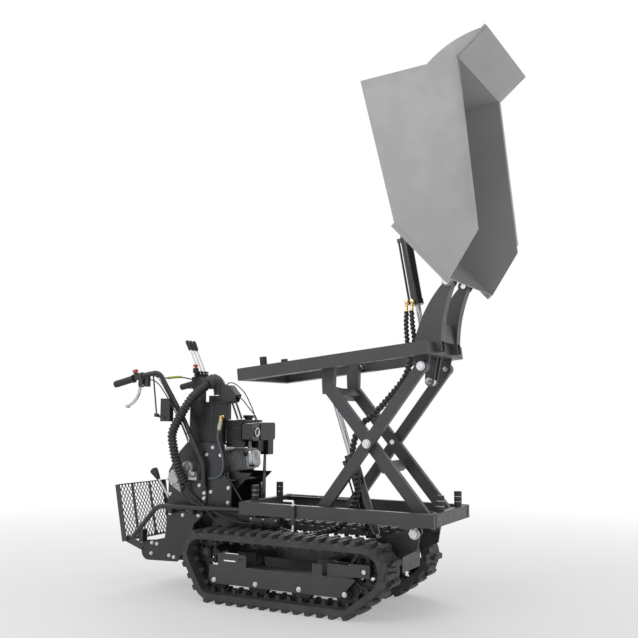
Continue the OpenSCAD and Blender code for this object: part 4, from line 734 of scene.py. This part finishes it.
class CARRIER_OT_engine(Operator):
    """Adds the engine's bright cover, its leads, cables and hoses"""

    bl_idname = "carrier.engine"
    bl_label = "Engine"

    def execute(self, context):
        for name, d, finish, route in CABLES:
            plain_tube(name, [at(*p) for p in route], d * MM, finish_of(finish), "base")
        self.rocker_cover()
        lumps = Lumps()
        for count, start, middle, radius, d in BOLT_CIRCLES:
            for k in range(count):
                a = math.radians(360 / count * k + start)
                x, y, z = middle
                lumps.bolt((x + radius * math.cos(a), y, z + radius * math.sin(a)), NEAR, d)
        for x in (-243, -172, -101):
            for z in (310, 384):
                lumps.bolt((x, -150, z), NEAR, 5)
        lumps.piece("engine_bolts", "zinc", "base")
        brass = Lumps()
        brass.turn((-428, -133.8, 884), NEAR, [(0, 9), (1, 10), (8, 10), (9, 8)], 6)
        brass.turn((-428, -142, 884), NEAR, [(0, 7), (14, 7), (20, 7.5), (22, 5)])
        brass.turn((-428.5, -157, 886), (-0.05, 0, -1), [(0, 5), (2, 7.5), (12, 7.5), (13, 10), (22, 10),
                                                         (24, 8)])
        brass.turn((-754, -150, 556), NEAR, [(0, 9), (6, 9), (7, 6), (12, 6)], 6)
        brass.piece("return_hose_elbow", "brass", "base")
        sleeve = Lumps()
        sleeve.turn((-429.5, -157, 863), (-0.19, 0, -1), [(0, 7.5), (2, 9.5), (40, 10.5), (46, 8), (47, 6)])
        sleeve.piece("return_hose_sleeve", "pale_plastic", "base")
        boot = Lumps()
        boot.turn((-302, -112, 695), (0, -0.8, 0.6), [(0, 9), (4, 9.5), (20, 8), (26, 5)])
        boot.piece("plug_boot", "hose_rubber", "base")
        ribs = Lumps()
        for k in range(12):
            x = -432 + 8 * k
            for low, high in ((767, 819), (833, 864)):
                ribs.tube([(x, -104.6, low), (x, -104.6, high)], 3.2, 6, 0.03)
        ribs.piece("tank_ribs", "black_plastic", "base")
        outlet = Lumps()
        outlet.turn(OUTLET, FRONT, [(0.2, 23.5), (8.3, 23.5), (8.3, 17), (3.5, 14)], 40)
        outlet.piece("exhaust_outlet", "chrome", "base")
        # Painted shade: thin near-black discs at the bottom of the outlet's shallow recess and over the strap's
        # holes, standing for the dark inside the bore and the holes
        hole_shade = Lumps()
        hole_shade.turn(OUTLET, FRONT, [(3.6, 13.8), (4.2, 13.8)], 32)
        for x in (0, STRAP_STEP):
            for k in range(6):
                hole = Vector(STRAP_TOP) + (k + 0.7) / 6.4 * Vector(STRAP_RUN) + Vector((x, 0, 0))
                hole_shade.turn(hole, NEAR, [(0, 2.6), (0.25, 2.6)], 14)
        hole_shade.piece("outlet_bore_and_strap_hole_shade", "hose_rubber", "base")
        return {"FINISHED"}

    def rocker_cover(self):
        """The domed bright cover on the cylinder head."""
        verts, faces, sides = [], [], 48
        foot_x, foot_y, foot_z = CYLINDER_FOOT
        turn = math.radians(CYLINDER_LEAN)
        half, roundness = 46, 0.45
        rows = ((114.3, 1.0), (117, 1.02), (117.4, 0.97), (127, 0.96), (131, 0.92), (133.4, 0.82),
                (134.6, 0.6), (135, 0.3))
        for x, share in rows:
            for k in range(sides):
                a = 2 * math.pi * k / sides
                y, h = (math.copysign(abs(v) ** roundness, v) * half * share
                        for v in (math.cos(a), math.sin(a)))
                verts.append(at(foot_x + x * math.cos(turn) + h * math.sin(turn), foot_y + y,
                                foot_z - x * math.sin(turn) + h * math.cos(turn)))
        for i in range(len(rows) - 1):
            for k in range(sides):
                a, b = i * sides + k, i * sides + (k + 1) % sides
                faces.append((a, b, b + sides, a + sides))
        faces.append(tuple(reversed(range(sides))))
        faces.append(tuple(range(len(verts) - sides, len(verts))))
        cover = new_piece("rocker_cover_dome", verts, faces, finish_of("polished"), "base")
        cover.data.set_sharp_from_angle(angle=math.radians(40))


# Foot of the stop button's box on the valve block
STOP_BUTTON = (-634, -98, 1088)


class CARRIER_OT_controls(Operator):
    """Runs the cables and wires of both handles, their ties and sleeves"""

    bl_idname = "carrier.controls"
    bl_label = "Control cables"

    def execute(self, context):
        ties = Lumps()
        for side, sign in (("near", 1), ("far", -1)):
            for name, d, route in SIDE_CABLES:
                plain_tube(f"{side}_{name}", [at(x, sign * y, z) for x, y, z in route], d * MM,
                           finish_of("hose_rubber"), "base")
            for x, y, z, lean in ((-690, -229, 988, (-0.42, -0.2, 0.88)),
                                  (-600, -190, 802, (-0.43, -0.08, 0.9)),
                                  (-545, -179, 690, (-0.43, -0.08, 0.9))):
                ties.ring((x, sign * y, z), (lean[0], sign * lean[1], lean[2]), 15.5, 1.6, 28)
        ties.piece("cable_ties", "hose_rubber", "base")
        marker = Lumps()
        marker.tube([(-782, -268, 1104), (-764, -244, 1088), (-734, -200, 1083), (-700, -150, 1090),
                     (-660, -96, 1080)], 7)
        marker.piece("valve_cable", "hose_rubber", "base")
        sleeve = Lumps()
        sleeve.tube([(-736, -203, 1083), (-716, -174, 1088), (-694, -142, 1091)], 13)
        sleeve.piece("cable_marker", "marker", "base")
        box = Lumps()
        box.turn(STOP_BUTTON, UP, [(0, 8), (24, 8), (27, 15), (48, 16), (51, 12)], 26)
        box.piece("stop_button_box", "black_plastic", "base")
        button = Lumps()
        button.turn(Vector(STOP_BUTTON) + Vector((0, 0, 50.5)), (-0.1, -0.1, 1),
                    [(0, 6), (7, 6), (9, 14.5), (17, 13), (21, 8)], 26)
        button.piece("stop_button", "switch_red", "base")
        return {"FINISHED"}


# Heads of the valve levers and of the gear lever, and the way that each leans at rest
VALVE_YS = (-74, -44, -14)
VALVE_TOP = (-710, 1280)
VALVE_LEAN = (-82, 0, 168)
GEAR_KNOB = (-905, -56, 561)
GEAR_LEAN = (-105, 0, 141)
# Foot of the far hand grip and its direction
GRIP_FOOT = (-888, 290, 1079)
GRIP_RUN = (-0.972, 0, -0.235)
# Lower rest posts, and the heights of the rings on their rubber caps
POST_XS, POST_YS, CAP_RING_ZS = (-237, 737), (-122, 122), (500, 524)


class CARRIER_OT_hardware(Operator):
    """Adds the cap rings, the weld beads and the grips of the levers"""

    bl_idname = "carrier.hardware"
    bl_label = "Hardware"

    def execute(self, context):
        caps = Lumps()
        for x in POST_XS:
            for y in POST_YS:
                for z in CAP_RING_ZS:
                    caps.ring((x, y, z), UP, 18.3, 1.1)
        caps.piece("lower_cap_rings", "zinc", "base")
        self.welds()
        self.grips()
        return {"FINISHED"}

    def welds(self):
        """Weld beads where the lower frame's side rails meet its end rails."""
        beads = Lumps()
        for y in (-217, 217):
            for x0, x1, face in ((-250, -223, -252.2), (723, 750, 752.2)):
                beads.bead((x0, y, 475.3), (x1, y, 475.3), 5)
                beads.bead((face, y, 417), (face, y, 474), 5)
        beads.piece("frame_welds", "weld", "base")

    def grips(self):
        """Black grips on the valve levers and the gear lever, and the ribs of both hand grips."""
        v = Vector(VALVE_LEAN).normalized()
        for i, y in enumerate(VALVE_YS):
            top = Vector((VALVE_TOP[0], y, VALVE_TOP[1]))
            grip = Lumps()
            grip.turn(top - 47 * v, v, [(0, 8.9), (1, 9.2), (47, 11), (52, 10), (56.6, 6.8), (57, 4)], 24)
            grip.piece(f"valve_grip_{i + 1}", "cap_rubber", f"valve_lever_{i + 1}")
        v = Vector(GEAR_LEAN).normalized()
        knob = Lumps()
        knob.turn(Vector(GEAR_KNOB) - 20.6 * v, v, [(0, 10.4), (2, 11), (54, 22.6), (60, 20.5),
                                                    (64.9, 13.6), (65.2, 6)], 28)
        knob.piece("gear_knob", "cap_rubber", "gear_lever")
        ribs = Lumps()
        foot, run = GRIP_FOOT, GRIP_RUN
        for side in (-1, 1):
            for k in range(13):
                s = 10 + 9 * k
                ribs.ring((foot[0] + run[0] * s, side * foot[1], foot[2] + run[2] * s),
                          (-run[0], -run[1], -run[2]), 17.2, 1.3, 28)
        ribs.piece("hand_grip_ribs", "cap_rubber", "base")


OPERATORS = [CARRIER_OT_stage, CARRIER_OT_finishes, CARRIER_OT_hoses, CARRIER_OT_loom, CARRIER_OT_ram_fittings,
             CARRIER_OT_engine, CARRIER_OT_controls, CARRIER_OT_hardware]


class CARRIER_PT_panel(Panel):
    """Lists the steps and the values that a user would change"""

    bl_idname = "CARRIER_PT_panel"
    bl_label = "Power carrier"
    bl_space_type = "VIEW_3D"
    bl_region_type = "UI"
    bl_category = "Carrier"

    def draw(self, context):
        for op in OPERATORS:
            self.layout.operator(op.bl_idname)
        for group in (context.scene.carrier_sizes, context.scene.carrier_colours):
            column = self.layout.column()
            for name in group.__annotations__:
                column.prop(group, name)


CLASSES = [CarrierSizes, CarrierColours] + OPERATORS + [CARRIER_PT_panel]


def register():
    for cls in CLASSES:
        bpy.utils.register_class(cls)
    bpy.types.Scene.carrier_sizes = PointerProperty(type=CarrierSizes)
    bpy.types.Scene.carrier_colours = PointerProperty(type=CarrierColours)


def unregister():
    del bpy.types.Scene.carrier_colours
    del bpy.types.Scene.carrier_sizes
    for cls in reversed(CLASSES):
        bpy.utils.unregister_class(cls)


def main():
    """Runs every step in order."""
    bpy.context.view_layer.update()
    register()
    for op in OPERATORS:
        group, name = op.bl_idname.split(".")
        getattr(getattr(bpy.ops, group), name)()


if __name__ == "__main__":
    main()
